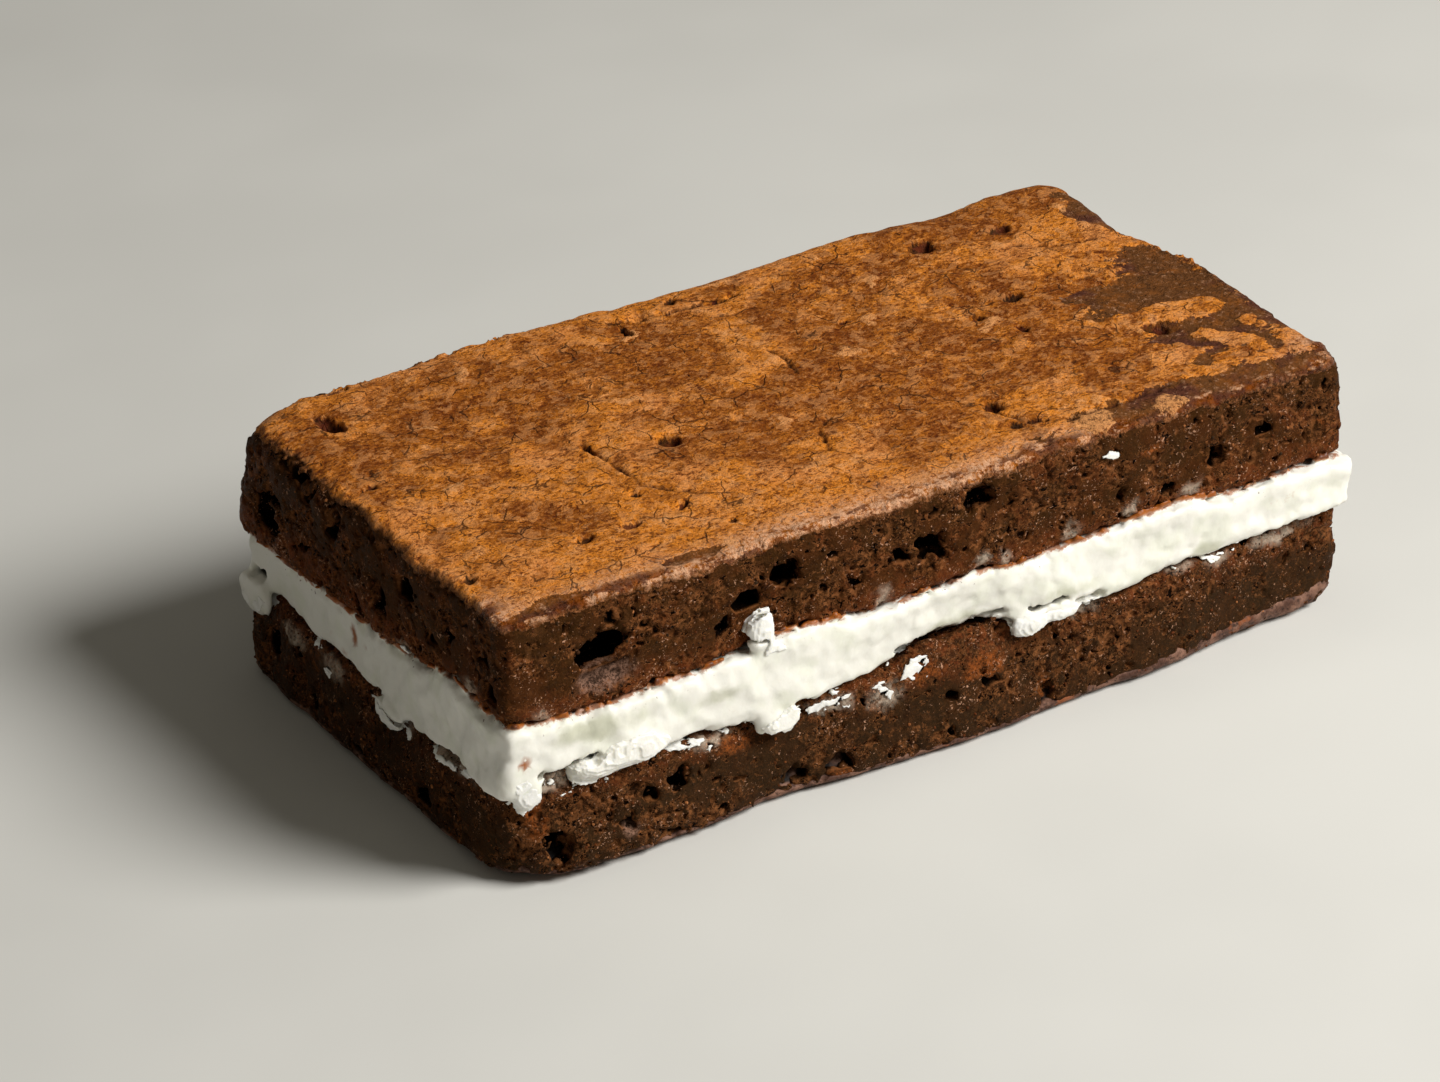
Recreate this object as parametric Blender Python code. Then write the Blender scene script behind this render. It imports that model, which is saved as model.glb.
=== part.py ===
"""Brownie sandwich bar: two baked chocolate layers with a slab of white cream between them.

The bar stands on its lower layer, which lies crust down.  Its long cut face looks
along -Y and its short cut face along -X.  Lengths below are in millimetres and
become metres when a mesh is made; +Z is up and the origin is under the middle.
"""

import math
import random
from dataclasses import dataclass, field

import bmesh
import bpy
from mathutils import Euler, Matrix, Vector, noise

MM = 0.001

# Driving dimensions of the bar.
LENGTH = 100.0
WIDTH = 53.6
HEIGHT = 29.6
CREAM_FOOT_LEVEL = 11.3      # top of the lower layer, away from the cut edges
CREAM_HEAD_LEVEL = 17.8      # underside of the upper layer, away from the cut edges
SEAM = 0.3                   # gap kept between two layers where they meet at a cut face
INNER_SEAM = 0.6             # and inside the bar
EDGE_FADE = 3.0              # how far inside the bar the wavy edge of a seam runs out

# Lattice that every layer is modelled on: close lines at the edges, even ones between.
EDGE_LINES = (0.0, 1.0, EDGE_FADE)
STEP_ALONG = 2.9
STEP_ACROSS = 3.6
STEP_UP = 1.9
RIM_LINES = (0.0, 0.8, 2.2)
FLAT_ANGLE = math.radians(0.05)

# Pores and crumb.
PORE_SEED = 29
PORE_SPACING = 5.0
PORE_RIM_CLEARANCE = 2.4
PORE_LUMPS = 0.28            # how far a pore strays from an ellipsoid, as a share of its size

SIDES = ("front", "back", "left", "right")
HALF_LENGTH = LENGTH / 2
HALF_WIDTH = WIDTH / 2


@dataclass
class Layer:
    """One slab of the bar, between its foot and its head.

    foot and head hold the cut outline at the two levels: for each side, stations of
    (place along the side, distance from the middle of the bar).
    """

    name: str
    colour: tuple
    roughness: float
    base: float
    top: float
    foot: dict
    head: dict
    foot_line: dict = field(default_factory=dict)
    head_line: dict = field(default_factory=dict)
    edge_radius: tuple = (0.7, 0.7)      # in plan, at the foot and at the head
    corner_radius: dict = field(default_factory=dict)
    rim_height: tuple = (0.35, 0.35)     # height of the rounding at the foot and at the head
    side_relief: float = 0.3
    head_relief: float = 0.0
    relief_sizes: tuple = (6.0, 2.6)
    steps_up: float = STEP_UP


# Wavy lines of the two seams where they come out at the cut faces: (place, height).
CREAM_HEAD_LINE = {
    "front": (
        (-50, 18.4), (-40, 17.5), (-24, 18.0), (-17, 19.3), (-7, 17.9),
        (5, 18.8), (9, 18.0), (30, 19.0), (34, 17.8), (45, 18.2), (50, 17.6),
    ),
    "left": ((-27, 18.2), (-22, 18.6), (-16, 19.5), (-8, 17.4), (0, 16.5), (27, 16.3)),
    "back": ((-50, 16.6), (-26, 18.4), (-6, 17.3), (17, 18.7), (36, 17.5), (50, 18.0)),
    "right": ((-27, 17.6), (-9, 18.5), (8, 17.4), (27, 18.1)),
}
CREAM_FOOT_LINE = {
    "front": (
        (-50, 10.6), (-45, 12.3), (-38, 11.0), (-20, 10.4), (-8, 10.8), (-2, 13.0),
        (6, 13.0), (10, 11.4), (22, 10.9), (28, 11.8), (50, 12.2),
    ),
    "left": ((-27, 10.4), (-15, 9.8), (-9, 9.2), (5, 10.9), (12, 10.4), (27, 11.0)),
    "back": ((-50, 11.2), (-31, 10.3), (-12, 12.2), (8, 10.9), (29, 12.0), (50, 11.0)),
    "right": ((-27, 12.2), (-12, 11.0), (6, 12.1), (27, 11.2)),
}

UPPER = Layer(
    name="upper_brownie",
    colour=(0.105, 0.045, 0.017, 1.0),
    roughness=0.62,
    base=CREAM_HEAD_LEVEL,
    top=HEIGHT,
    foot={
        "front": ((-50, 26.9), (-15, 26.7), (15, 27.0), (50, 26.6)),
        "back": ((-50, 28.1), (-25, 27.4), (0, 26.2), (30, 26.3), (50, 25.6)),
        "left": ((-27, 50.2), (0, 50.4), (27, 51.3)),
        "right": ((-27, 50.6), (0, 50.6), (12, 49.4), (27, 49.6)),
    },
    head={
        "front": ((-50, 26.9), (0, 26.9), (50, 26.3)),
        "back": (
            (-50, 27.8), (-25, 28.0), (4, 26.0), (20, 26.4), (34, 25.3), (42, 26.8), (50, 26.2),
        ),
        "left": ((-27, 50.2), (27, 51.2)),
        "right": ((-27, 50.4), (-16, 50.3), (0, 51.1), (11, 48.7), (17, 49.2), (27, 49.9)),
    },
    foot_line=CREAM_HEAD_LINE,
    edge_radius=(0.8, 1.9),
    corner_radius={
        ("front", "left"): (0.8, 1.9),
        ("front", "right"): (1.2, 2.4),
        ("back", "left"): (1.4, 7.0),
        ("back", "right"): (2.0, 4.0),
    },
    rim_height=(0.35, 1.9),
    side_relief=0.35,
    head_relief=0.35,
)

CREAM = Layer(
    name="cream_filling",
    colour=(0.88, 0.85, 0.77, 1.0),
    roughness=0.5,
    base=CREAM_FOOT_LEVEL,
    top=CREAM_HEAD_LEVEL,
    foot={
        "front": (
            (-50, 27.3), (-38, 27.8), (-30, 27.2), (-20, 27.8), (-2, 26.3), (6, 26.4), (12, 27.6), (50, 27.3),
        ),
        "back": ((-50, 26.2), (-20, 27.0), (15, 26.2), (50, 26.4)),
        "left": ((-27, 51.2), (-10, 50.5), (12, 50.7), (22, 50.3), (27, 50.9)),
        "right": ((-27, 50.7), (0, 50.8), (27, 49.8)),
    },
    head={
        "front": ((-50, 27.0), (-12, 27.3), (10, 27.0), (30, 27.4), (50, 27.3)),
        "back": ((-50, 26.6), (-10, 26.2), (22, 26.8), (50, 25.8)),
        "left": ((-27, 50.5), (0, 50.3), (27, 50.4)),
        "right": ((-27, 51.3), (-4, 50.9), (27, 50.1)),
    },
    foot_line=CREAM_FOOT_LINE,
    head_line=CREAM_HEAD_LINE,
    edge_radius=(1.0, 1.0),
    rim_height=(0.6, 0.5),
    side_relief=0.45,
    relief_sizes=(8.0, 3.4),
    steps_up=1.5,
)

LOWER = Layer(
    name="lower_brownie",
    colour=(0.085, 0.038, 0.016, 1.0),
    roughness=0.65,
    base=0.0,
    top=CREAM_FOOT_LEVEL,
    foot={
        "front": (
            (-50, 28.6), (-38, 28.9), (-20, 27.6), (3, 28.8), (17, 28.1), (27, 28.1), (38, 26.4), (50, 25.9),
        ),
        "back": ((-50, 28.4), (-16, 27.9), (12, 27.0), (33, 27.7), (50, 26.6)),
        "left": ((-27, 51.3), (0, 51.4), (15, 51.8), (27, 51.4)),
        "right": ((-27, 50.9), (5, 51.2), (27, 50.2)),
    },
    head={
        "front": ((-50, 26.8), (-30, 27.0), (0, 26.9), (30, 26.8), (50, 26.0)),
        "back": ((-50, 28.0), (0, 27.0), (50, 26.0)),
        "left": ((-27, 50.0), (0, 50.5), (27, 50.9)),
        "right": ((-27, 50.2), (27, 49.9)),
    },
    head_line=CREAM_FOOT_LINE,
    edge_radius=(2.0, 0.8),
    corner_radius={
        ("front", "left"): (9.0, 1.2),
        ("front", "right"): (3.5, 1.0),
        ("back", "left"): (3.2, 1.4),
        ("back", "right"): (4.0, 1.4),
    },
    rim_height=(1.9, 0.4),
    side_relief=0.4,
)

# Larger pores of the cut faces: (place along the face, height, width, height of pore, depth).
PORES = {
    "upper_brownie": {
        "front": (
            (-39.3, 24.0, 6.4, 3.2, 3.4), (-25.4, 22.2, 1.7, 2.2, 1.5), (-22.3, 24.0, 3.4, 1.7, 1.8),
            (-18.2, 25.6, 3.4, 2.6, 2.6), (-4.9, 23.3, 1.8, 1.7, 1.5), (-0.9, 23.3, 2.9, 3.0, 2.0),
            (4.8, 27.0, 3.4, 2.4, 2.4), (22.2, 22.0, 1.6, 1.3, 1.2), (34.4, 22.8, 2.2, 1.7, 1.5),
        ),
        "left": (
            (20.6, 22.2, 2.6, 4.0, 2.4), (6.4, 26.4, 1.8, 3.6, 1.8), (-1.2, 22.0, 2.6, 3.8, 2.2),
            (-8.0, 25.4, 2.6, 2.6, 2.0),
        ),
        "back": (),
        "right": (),
    },
    "lower_brownie": {
        "front": (
            (-45.2, 4.0, 2.6, 3.8, 2.6), (-34.8, 6.6, 1.7, 1.5, 1.3), (-31.6, 7.2, 1.9, 1.7, 1.5),
            (-17.8, 3.0, 2.6, 1.5, 1.6), (-12.4, 2.9, 3.0, 1.8, 1.8), (0.2, 6.1, 1.8, 1.5, 1.3),
            (7.0, 10.0, 1.8, 1.8, 1.6), (12.4, 3.0, 1.9, 2.0, 2.0),
        ),
        "left": ((21.5, 5.2, 2.2, 2.4, 1.8), (12.0, 3.4, 2.0, 2.2, 1.6), (-10.0, 3.6, 2.4, 2.0, 1.6)),
        "back": (),
        "right": (),
    },
}
HIDDEN_FACE_PORES = {"back": 9, "right": 5}

# Torn pits in the crust of the top: (x, y, length, width, depth, turn in degrees).
CRUST_PITS = (
    (-44.0, 19.0, 2.4, 4.0, 1.5, 12.0), (-17.2, -3.0, 2.4, 2.6, 0.8, 0.0), (-34.0, -16.0, 2.8, 1.5, 0.8, 24.0),
    (-24.0, -15.5, 2.2, 1.5, 0.7, 28.0), (-5.5, 22.4, 3.4, 1.9, 1.1, 20.0), (3.0, 20.6, 4.6, 1.5, 1.0, -4.0),
    (28.0, 18.4, 3.0, 2.6, 0.9, 30.0), (28.8, 3.6, 2.6, 1.5, 0.7, 10.0), (38.2, -11.4, 3.4, 3.0, 0.8, -40.0),
    (14.2, -15.4, 3.0, 2.2, 0.9, -35.0),
)

# Split in the bottom edge of the long cut face: (x, width, height, depth).
BOTTOM_SPLIT = (11.3, 1.3, 3.4, 3.0)

# Dabs of cream pressed out over the brownie: (place along the face, height, width, height of dab).
DABS = {
    "front": (
        (-48.3, 10.9, 3.4, 3.8), (-40.2, 12.3, 5.8, 2.8), (-35.6, 12.4, 5.4, 3.2),
        (-20.0, 10.3, 5.0, 2.9), (10.4, 10.9, 4.6, 2.8), (14.2, 11.3, 4.4, 2.2),
        (-21.4, 20.2, 2.9, 5.4),
    ),
    "left": ((24.2, 10.2, 6.6, 4.4), (-3.4, 9.3, 5.6, 3.6)),
}
DAB_PROUD = 0.9              # how far a dab stands out from the brownie's face
DAB_THICKNESS = 1.6
DAB_LUMPS = 0.16
DAB_CLEARANCE = 1.0          # how far the brownie's face gives way behind a dab
DAB_MARGIN = 1.6             # how far round a dab it does


def mix(a, b, t):
    return a + (b - a) * t


def smooth(t):
    t = min(1.0, max(0.0, t))
    return t * t * (3.0 - 2.0 * t)


def along(stations, place):
    """Value at a place on the smooth line through (place, value) stations."""
    if place <= stations[0][0]:
        return stations[0][1]
    for (start, first), (end, last) in zip(stations, stations[1:]):
        if place <= end:
            return mix(first, last, smooth((place - start) / (end - start)))
    return stations[-1][1]


def lines(length, insets, step):
    """Places of the lattice lines from 0 to length."""
    span = length - 2 * insets[-1]
    cells = max(1, round(span / step))
    inner = [insets[-1] + span * i / cells for i in range(1, cells)]
    return [*insets, *inner, *(length - inset for inset in reversed(insets))]


def lattice(cells):
    """A cube whose faces are cut into cells[axis] strips along each axis."""
    bm = bmesh.new()
    bmesh.ops.create_cube(bm, size=2.0)
    for axis, count in enumerate(cells):
        spanning = [e for e in bm.edges if abs(e.verts[0].co[axis] - e.verts[1].co[axis]) > 1.0]
        bmesh.ops.subdivide_edges(bm, edges=spanning, cuts=count - 1, use_grid_fill=True)
    return bm


def seam_height(line, level, x, y):
    """Height of a seam, and half its gap: its wavy line at the cut faces, its flat level inside."""
    inside = {
        "front": y + HALF_WIDTH, "back": HALF_WIDTH - y,
        "left": x + HALF_LENGTH, "right": HALF_LENGTH - x,
    }
    total = 0.0
    height = 0.0
    for side in SIDES:
        weight = min(1.0, max(0.0, 1.0 - inside[side] / EDGE_FADE))
        place = x if side in ("front", "back") else y
        total += weight
        height += weight * (along(line[side], place) - level)
    depth = min(inside.values()) / EDGE_LINES[1]
    return level + height / max(1.0, total), mix(SEAM, INNER_SEAM, smooth(depth)) / 2


def rounding(layer, u, v, w):
    """Plan radius of the layer's edge at lattice place u, v (-1 to 1) and w (0 foot to 1 head)."""
    radius = mix(*layer.edge_radius, w)
    result = radius
    for (across, end), radii in layer.corner_radius.items():
        share_u = (1.0 + (u if end == "right" else -u)) / 2
        share_v = (1.0 + (v if across == "back" else -v)) / 2
        result += (mix(*radii, w) - radius) * (share_u * share_v) ** 5
    return result


def outline(layer, side, place, w):
    """Distance of a cut face from the middle of the bar."""
    return mix(along(layer.foot[side], place), along(layer.head[side], place), w)


def face_point(layer, side, place, w):
    """Point on a cut face, in plan, and the direction that it faces."""
    reach = outline(layer, side, place, w)
    return {
        "front": (Vector((place, -reach)), Vector((0, -1))),
        "back": (Vector((place, reach)), Vector((0, 1))),
        "left": (Vector((-reach, place)), Vector((-1, 0))),
        "right": (Vector((reach, place)), Vector((1, 0))),
    }[side]


def crumb(point, sizes, salt):
    """Uneven relief, about -1 to 1, of two sizes of lump."""
    coarse = noise.noise(point / sizes[0] + Vector((salt, 0, 0)))
    fine = noise.noise(point / sizes[1] + Vector((0, salt, 0)))
    return 1.2 * coarse + 0.8 * fine


def dab_recess(layer, point, outward):
    """How far a cut face of a brownie layer gives way behind the dabs of cream."""
    if layer is CREAM:
        return 0.0
    recess = 0.0
    for side, place, facing in (("front", point.x, -outward.y), ("left", point.y, -outward.x)):
        for at, height, width, tall in DABS[side]:
            sideways = (place - at) / (width / 2 + DAB_MARGIN)
            upwards = (point.z - height) / (tall / 2 + DAB_MARGIN)
            away = math.hypot(sideways, upwards)
            recess = max(recess, smooth(2.0 * facing) * (1.0 - smooth((away - 0.8) / 0.6)))
    return DAB_CLEARANCE * recess


def place_vertex(layer, nominal, thickness):
    """Where a lattice point (x, y from the middle, z from the foot) lies on the real slab."""
    half = Vector((HALF_LENGTH, HALF_WIDTH, thickness / 2))
    centred = Vector((nominal.x, nominal.y, nominal.z - half.z))
    u, v, w = nominal.x / half.x, nominal.y / half.y, nominal.z / thickness
    plan = rounding(layer, u, v, w)
    rim = layer.rim_height[0] if centred.z < 0 else layer.rim_height[1]
    radii = Vector((plan, plan, rim))
    excess = Vector(max(0.0, abs(c) - (h - r)) for c, h, r in zip(centred, half, radii))
    steep = Vector(e / r for e, r in zip(excess, radii)).length
    if steep > 0.0:
        centred = Vector(
            math.copysign(abs(c) - e + e / steep, c) for c, e in zip(centred, excess)
        )
    outward = Vector(math.copysign(e, c) for e, c in zip(excess, centred))
    outward = outward.normalized() if outward.length > 0 else Vector((0, 0, 0))

    share = (centred.z + half.z) / thickness
    across = (centred.y / half.y + 1) / 2
    endways = (centred.x / half.x + 1) / 2
    x = mix(-outline(layer, "left", centred.y, share), outline(layer, "right", centred.y, share), endways)
    y = mix(-outline(layer, "front", centred.x, share), outline(layer, "back", centred.x, share), across)
    bottom, head = layer.base, layer.top
    if layer.foot_line:
        height, gap = seam_height(layer.foot_line, layer.base, x, y)
        bottom = height + gap
    if layer.head_line:
        height, gap = seam_height(layer.head_line, layer.top, x, y)
        head = height - gap
    point = Vector((x, y, mix(bottom, head, share)))

    flat = Vector((outward.x, outward.y, 0.0))
    salt = 7.0 * layer.base
    lumps = crumb(point, layer.relief_sizes, salt)
    point += flat * (layer.side_relief * lumps - dab_recess(layer, point, outward))
    if share > 0.5 and layer.head_relief:
        lift = smooth((outward.z if steep > 0 else 1.0))
        broad = crumb(Vector((x, y, 0)), (15.0, 5.0), salt + 3.0)
        point.z += layer.head_relief * lift * broad
    return point


def slab(layer):
    """Mesh of one layer: a lattice cube shaped to its outline, seams and crumb."""
    thickness = layer.top - layer.base
    places = (
        lines(LENGTH, EDGE_LINES, STEP_ALONG),
        lines(WIDTH, EDGE_LINES, STEP_ACROSS),
        lines(thickness, RIM_LINES[: 3 if thickness > 8 else 2], layer.steps_up),
    )
    bm = lattice([len(p) - 1 for p in places])
    offset = (HALF_LENGTH, HALF_WIDTH, 0.0)
    for vertex in bm.verts:
        nominal = Vector(
            p[round((c + 1) / 2 * (len(p) - 1))] - o for p, c, o in zip(places, vertex.co, offset)
        )
        vertex.co = place_vertex(layer, nominal, thickness) * MM
    bmesh.ops.dissolve_limit(bm, angle_limit=FLAT_ANGLE, verts=bm.verts, edges=bm.edges)
    bmesh.ops.triangulate(bm, faces=bm.faces)
    bmesh.ops.recalc_face_normals(bm, faces=bm.faces)
    return bm


def blob(bm, centre, radii, turn, rings, lumps=PORE_LUMPS):
    """Add an uneven ellipsoid to a mesh."""
    made = bmesh.ops.create_icosphere(bm, subdivisions=rings, radius=1.0)["verts"]
    for vertex in made:
        swell = 1.0 + lumps * noise.noise(vertex.co * 1.4 + centre)
        scaled = Vector(c * r * swell for c, r in zip(vertex.co, radii))
        vertex.co = (centre + turn @ scaled) * MM


def hidden_pores(layer, side, count, draw):
    """Pores of a face at the back or the far end: spread by seeded draws, kept apart."""
    reach = (HALF_LENGTH if side == "back" else HALF_WIDTH) - 4.0
    found = []
    while len(found) < count:
        place = draw.uniform(-reach, reach)
        height = draw.uniform(layer.base + PORE_RIM_CLEARANCE, layer.top - PORE_RIM_CLEARANCE)
        if all(math.hypot(place - p[0], height - p[1]) > PORE_SPACING for p in found):
            width = draw.uniform(1.5, 3.6)
            found.append((place, height, width, width * draw.uniform(0.6, 1.1), width * 0.75))
    return found


def pore_cutter(layer, draw):
    """One mesh of all the hollows in a baked layer: its pores, and pits or the split."""
    bm = bmesh.new()
    thickness = layer.top - layer.base
    for side in SIDES:
        pores = PORES[layer.name][side] or hidden_pores(layer, side, HIDDEN_FACE_PORES[side], draw)
        for place, height, width, tall, depth in pores:
            plan, facing = face_point(layer, side, place, (height - layer.base) / thickness)
            centre = Vector((plan.x - 0.2 * depth * facing.x, plan.y - 0.2 * depth * facing.y, height))
            turn = facing.to_3d().to_track_quat("Y", "Z").to_matrix()
            turn = turn @ Matrix.Rotation(draw.uniform(-0.5, 0.5), 3, "Y")
            blob(bm, centre, (width / 2, depth, tall / 2), turn, 2 if width > 3.0 else 1)
    if layer is UPPER:
        for x, y, long, wide, depth, degrees in CRUST_PITS:
            turn = Euler((0, 0, math.radians(degrees))).to_matrix()
            blob(bm, Vector((x, y, layer.top)), (long / 2, wide / 2, depth), turn, 1)
    else:
        x, width, tall, depth = BOTTOM_SPLIT
        plan, _ = face_point(layer, "front", x, 0.0)
        blob(bm, Vector((x, plan.y, 0.0)), (width / 2, depth / 2, tall / 2), Matrix.Identity(3), 1)
    return bm


def dab_mesh(side, dab):
    """A flat drop of cream that stands proud of a cut face."""
    place, height, width, tall = dab
    brownie = UPPER if height > CREAM_HEAD_LEVEL else LOWER
    plan, facing = face_point(brownie, side, place, 1.0 if brownie is LOWER else 0.0)
    plan += facing * (DAB_PROUD - DAB_THICKNESS / 2)
    turn = facing.to_3d().to_track_quat("Y", "Z").to_matrix()
    bm = bmesh.new()
    radii = (width / 2, DAB_THICKNESS / 2, tall / 2)
    blob(bm, Vector((plan.x, plan.y, height)), radii, turn, 2, DAB_LUMPS)
    return bm


def material(name, colour, roughness):
    result = bpy.data.materials.new(name)
    result.use_nodes = True
    shader = result.node_tree.nodes["Principled BSDF"]
    shader.inputs["Base Color"].default_value = colour
    shader.inputs["Roughness"].default_value = roughness
    shader.inputs["Metallic"].default_value = 0.0
    return result


def add_object(name, bm, collection, parent=None):
    mesh = bpy.data.meshes.new(name)
    bm.to_mesh(mesh)
    bm.free()
    result = bpy.data.objects.new(name, mesh)
    collection.objects.link(result)
    result.parent = parent
    return result


def as_cutter(cutter):
    cutter.hide_render = True
    cutter.display_type = "WIRE"


def fuse(target, pieces):
    """Join a collection of overlapping pieces to an object, and remove them."""
    union = target.modifiers.new("fuse", "BOOLEAN")
    union.operation = "UNION"
    union.operand_type = "COLLECTION"
    union.collection = pieces
    union.solver = "EXACT"
    depsgraph = bpy.context.evaluated_depsgraph_get()
    joined = bpy.data.meshes.new_from_object(target.evaluated_get(depsgraph))
    target.modifiers.clear()
    target.data = joined
    for piece in list(pieces.objects):
        bpy.data.objects.remove(piece)
    bpy.data.collections.remove(pieces)


def centre_of(objects):
    """Middle, in plan, of the box round some objects."""
    points = [v.co for o in objects for v in o.data.vertices]
    return [(min(p[axis] for p in points) + max(p[axis] for p in points)) / 2 for axis in (0, 1)]


def new_collection(name):
    collection = bpy.data.collections.new(name)
    bpy.context.scene.collection.children.link(collection)
    return collection


def main():
    for old in list(bpy.data.objects):
        bpy.data.objects.remove(old)
    bar = new_collection("brownie_sandwich_bar")
    cutters = new_collection("cutters")
    middle = bpy.data.objects.new("middle_of_bar", None)
    bar.objects.link(middle)

    made = {}
    for layer in (LOWER, CREAM, UPPER):
        made[layer.name] = add_object(layer.name, slab(layer), bar, middle)

    dabs = new_collection("cream_dabs")
    for side, drops in DABS.items():
        for number, drop in enumerate(drops):
            add_object(f"dab_{side}_{number}", dab_mesh(side, drop), dabs)
    bpy.context.view_layer.update()
    fuse(made[CREAM.name], dabs)

    draw = random.Random(PORE_SEED)
    for layer in (LOWER, UPPER):
        cutter = add_object(f"{layer.name}_hollows", pore_cutter(layer, draw), cutters, middle)
        as_cutter(cutter)
        cut = made[layer.name].modifiers.new("hollows", "BOOLEAN")
        cut.operation = "DIFFERENCE"
        cut.object = cutter
        cut.solver = "EXACT"

    for layer in (LOWER, CREAM, UPPER):
        finish = material(layer.name, layer.colour, layer.roughness)
        made[layer.name].data.materials.clear()
        made[layer.name].data.materials.append(finish)
    x, y = centre_of(made.values())
    middle.location = (-x, -y, 0.0)


main()
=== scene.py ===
"""Looks of a brownie sandwich bar: two slabs of fudgy brownie with a cream filling between them.

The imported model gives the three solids: the upper brownie, the cream and the lower brownie.
Each is replaced here by real crumb, papery crust or soft cream. Fields of distance and noise
say where the food is, Geometry Nodes turn them into meshes, and the same fields, read by the
materials, colour them. Places are in millimetres of the bar: X along it from its left end,
Y from its near face to its far face, and Z up from what it lies on.
"""

import math

import bmesh
import bpy
import numpy as np
from mathutils import Matrix, Vector
from mathutils.bvhtree import BVHTree


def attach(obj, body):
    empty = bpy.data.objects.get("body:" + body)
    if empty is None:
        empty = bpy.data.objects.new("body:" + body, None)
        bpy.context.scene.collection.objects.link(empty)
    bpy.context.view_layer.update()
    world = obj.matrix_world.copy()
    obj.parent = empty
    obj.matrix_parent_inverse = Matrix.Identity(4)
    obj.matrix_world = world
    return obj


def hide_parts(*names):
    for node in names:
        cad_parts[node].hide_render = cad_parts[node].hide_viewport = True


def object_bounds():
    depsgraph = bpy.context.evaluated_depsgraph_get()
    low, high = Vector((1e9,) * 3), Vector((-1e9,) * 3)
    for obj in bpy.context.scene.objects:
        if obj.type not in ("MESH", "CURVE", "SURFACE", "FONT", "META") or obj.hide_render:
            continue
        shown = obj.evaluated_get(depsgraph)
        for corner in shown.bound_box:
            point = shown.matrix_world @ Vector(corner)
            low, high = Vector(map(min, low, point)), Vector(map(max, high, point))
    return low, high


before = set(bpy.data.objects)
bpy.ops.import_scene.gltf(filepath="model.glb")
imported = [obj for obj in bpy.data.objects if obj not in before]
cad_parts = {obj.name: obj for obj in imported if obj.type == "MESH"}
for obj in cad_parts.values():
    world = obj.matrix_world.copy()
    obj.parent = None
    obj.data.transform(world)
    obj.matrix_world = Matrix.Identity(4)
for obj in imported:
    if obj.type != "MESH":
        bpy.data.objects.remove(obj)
cad_low, cad_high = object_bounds()

MM = 0.001
BODY = "root"
BAR_SHIFT = Vector((0.257, 0.135, 0.0))  # the bar's drawn middle, seen from its box's middle
# The heights that the cream lies between, for what its nearness does to the crumb.
CREAM_FOOT = 11.0
CREAM_TOP = 18.0

# The camera, as it stood to the bar.
CAMERA_PLACE = Vector((-286.931, -462.287, 314.559))
CAMERA_RIGHT = Vector((0.849640, -0.526711, -0.026231))
CAMERA_UP = Vector((0.275901, 0.401566, 0.873283))
CAMERA_BACK = Vector((-0.449434, -0.749213, 0.486506))
LENS = 150.0
SENSOR = 36.0

# Meshes.
SOFT_VOXEL = 0.35
SOFT_ROUNDS = 8
WELD = 1e-6  # metres
CREAM_SOFT_VOXEL = 0.3
CREAM_SOFT_ROUNDS = 5
CRUMB_VOXEL = 0.28
CRUST_VOXEL = 0.29
CREAM_VOXEL = 0.27
SKIN_VOXEL = 0.38
FLAKE_VOXEL = 0.16
DENSITY_REACH = 1.0  # the fields are true this far from a surface
BOX_ROOM = 1.2  # a piece is looked for this far outside its slab
FLAKE_ROOM = 1.4  # and the torn cream this far outside its outlines
HIDDEN_INSET = 6.2  # faces between two layers are left out this far inside the bar
HIDDEN_DEPTH = 1.7  # and those of the crust and the skin only this deep in the slab
PIECE_TRIANGLES = 190000

# The crust's border, below the top's edge, and the underside skin's, above the ground.
CRUST_DROP = 0.9
SKIN_LEVEL = 1.2
CRUST_BOX = 8.0  # the crust is looked for this far down from the top
SKIN_BOX = 7.0  # the underside's skin this far up from the ground
FLAKE_BOX = 6.5  # and the torn cream this far into the bar
LID_DEPTH = 2.0  # how far the hidden faces of the crust and the skin lie inside the slabs
SLAB_COVER = 0.6  # how far the crumb draws back under the crust and over the skin
GAP_OUT = 0.4  # how far the gaps in the cream are centred outside its own faces
TOP_INSET = 3.5  # the top's height is read this far inside the slab's edge, past its rounding
ABOVE_BAR = 40.0  # well over the bar
OUTSIDE = {"front": 60.0, "left": 80.0}  # well outside it, from its middle

FLAT = (1.0, 1.0, 0.0)  # leaves heights out of a place
HALF = (0.5, 0.5, 0.5)  # the middle of what noise and cells give
# From one draw of noise or of cells to the next.
NOISE_SHIFT = (31.7, -17.3, 47.9)
CELL_SHIFT = (13.1, 29.7, -11.9)


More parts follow.
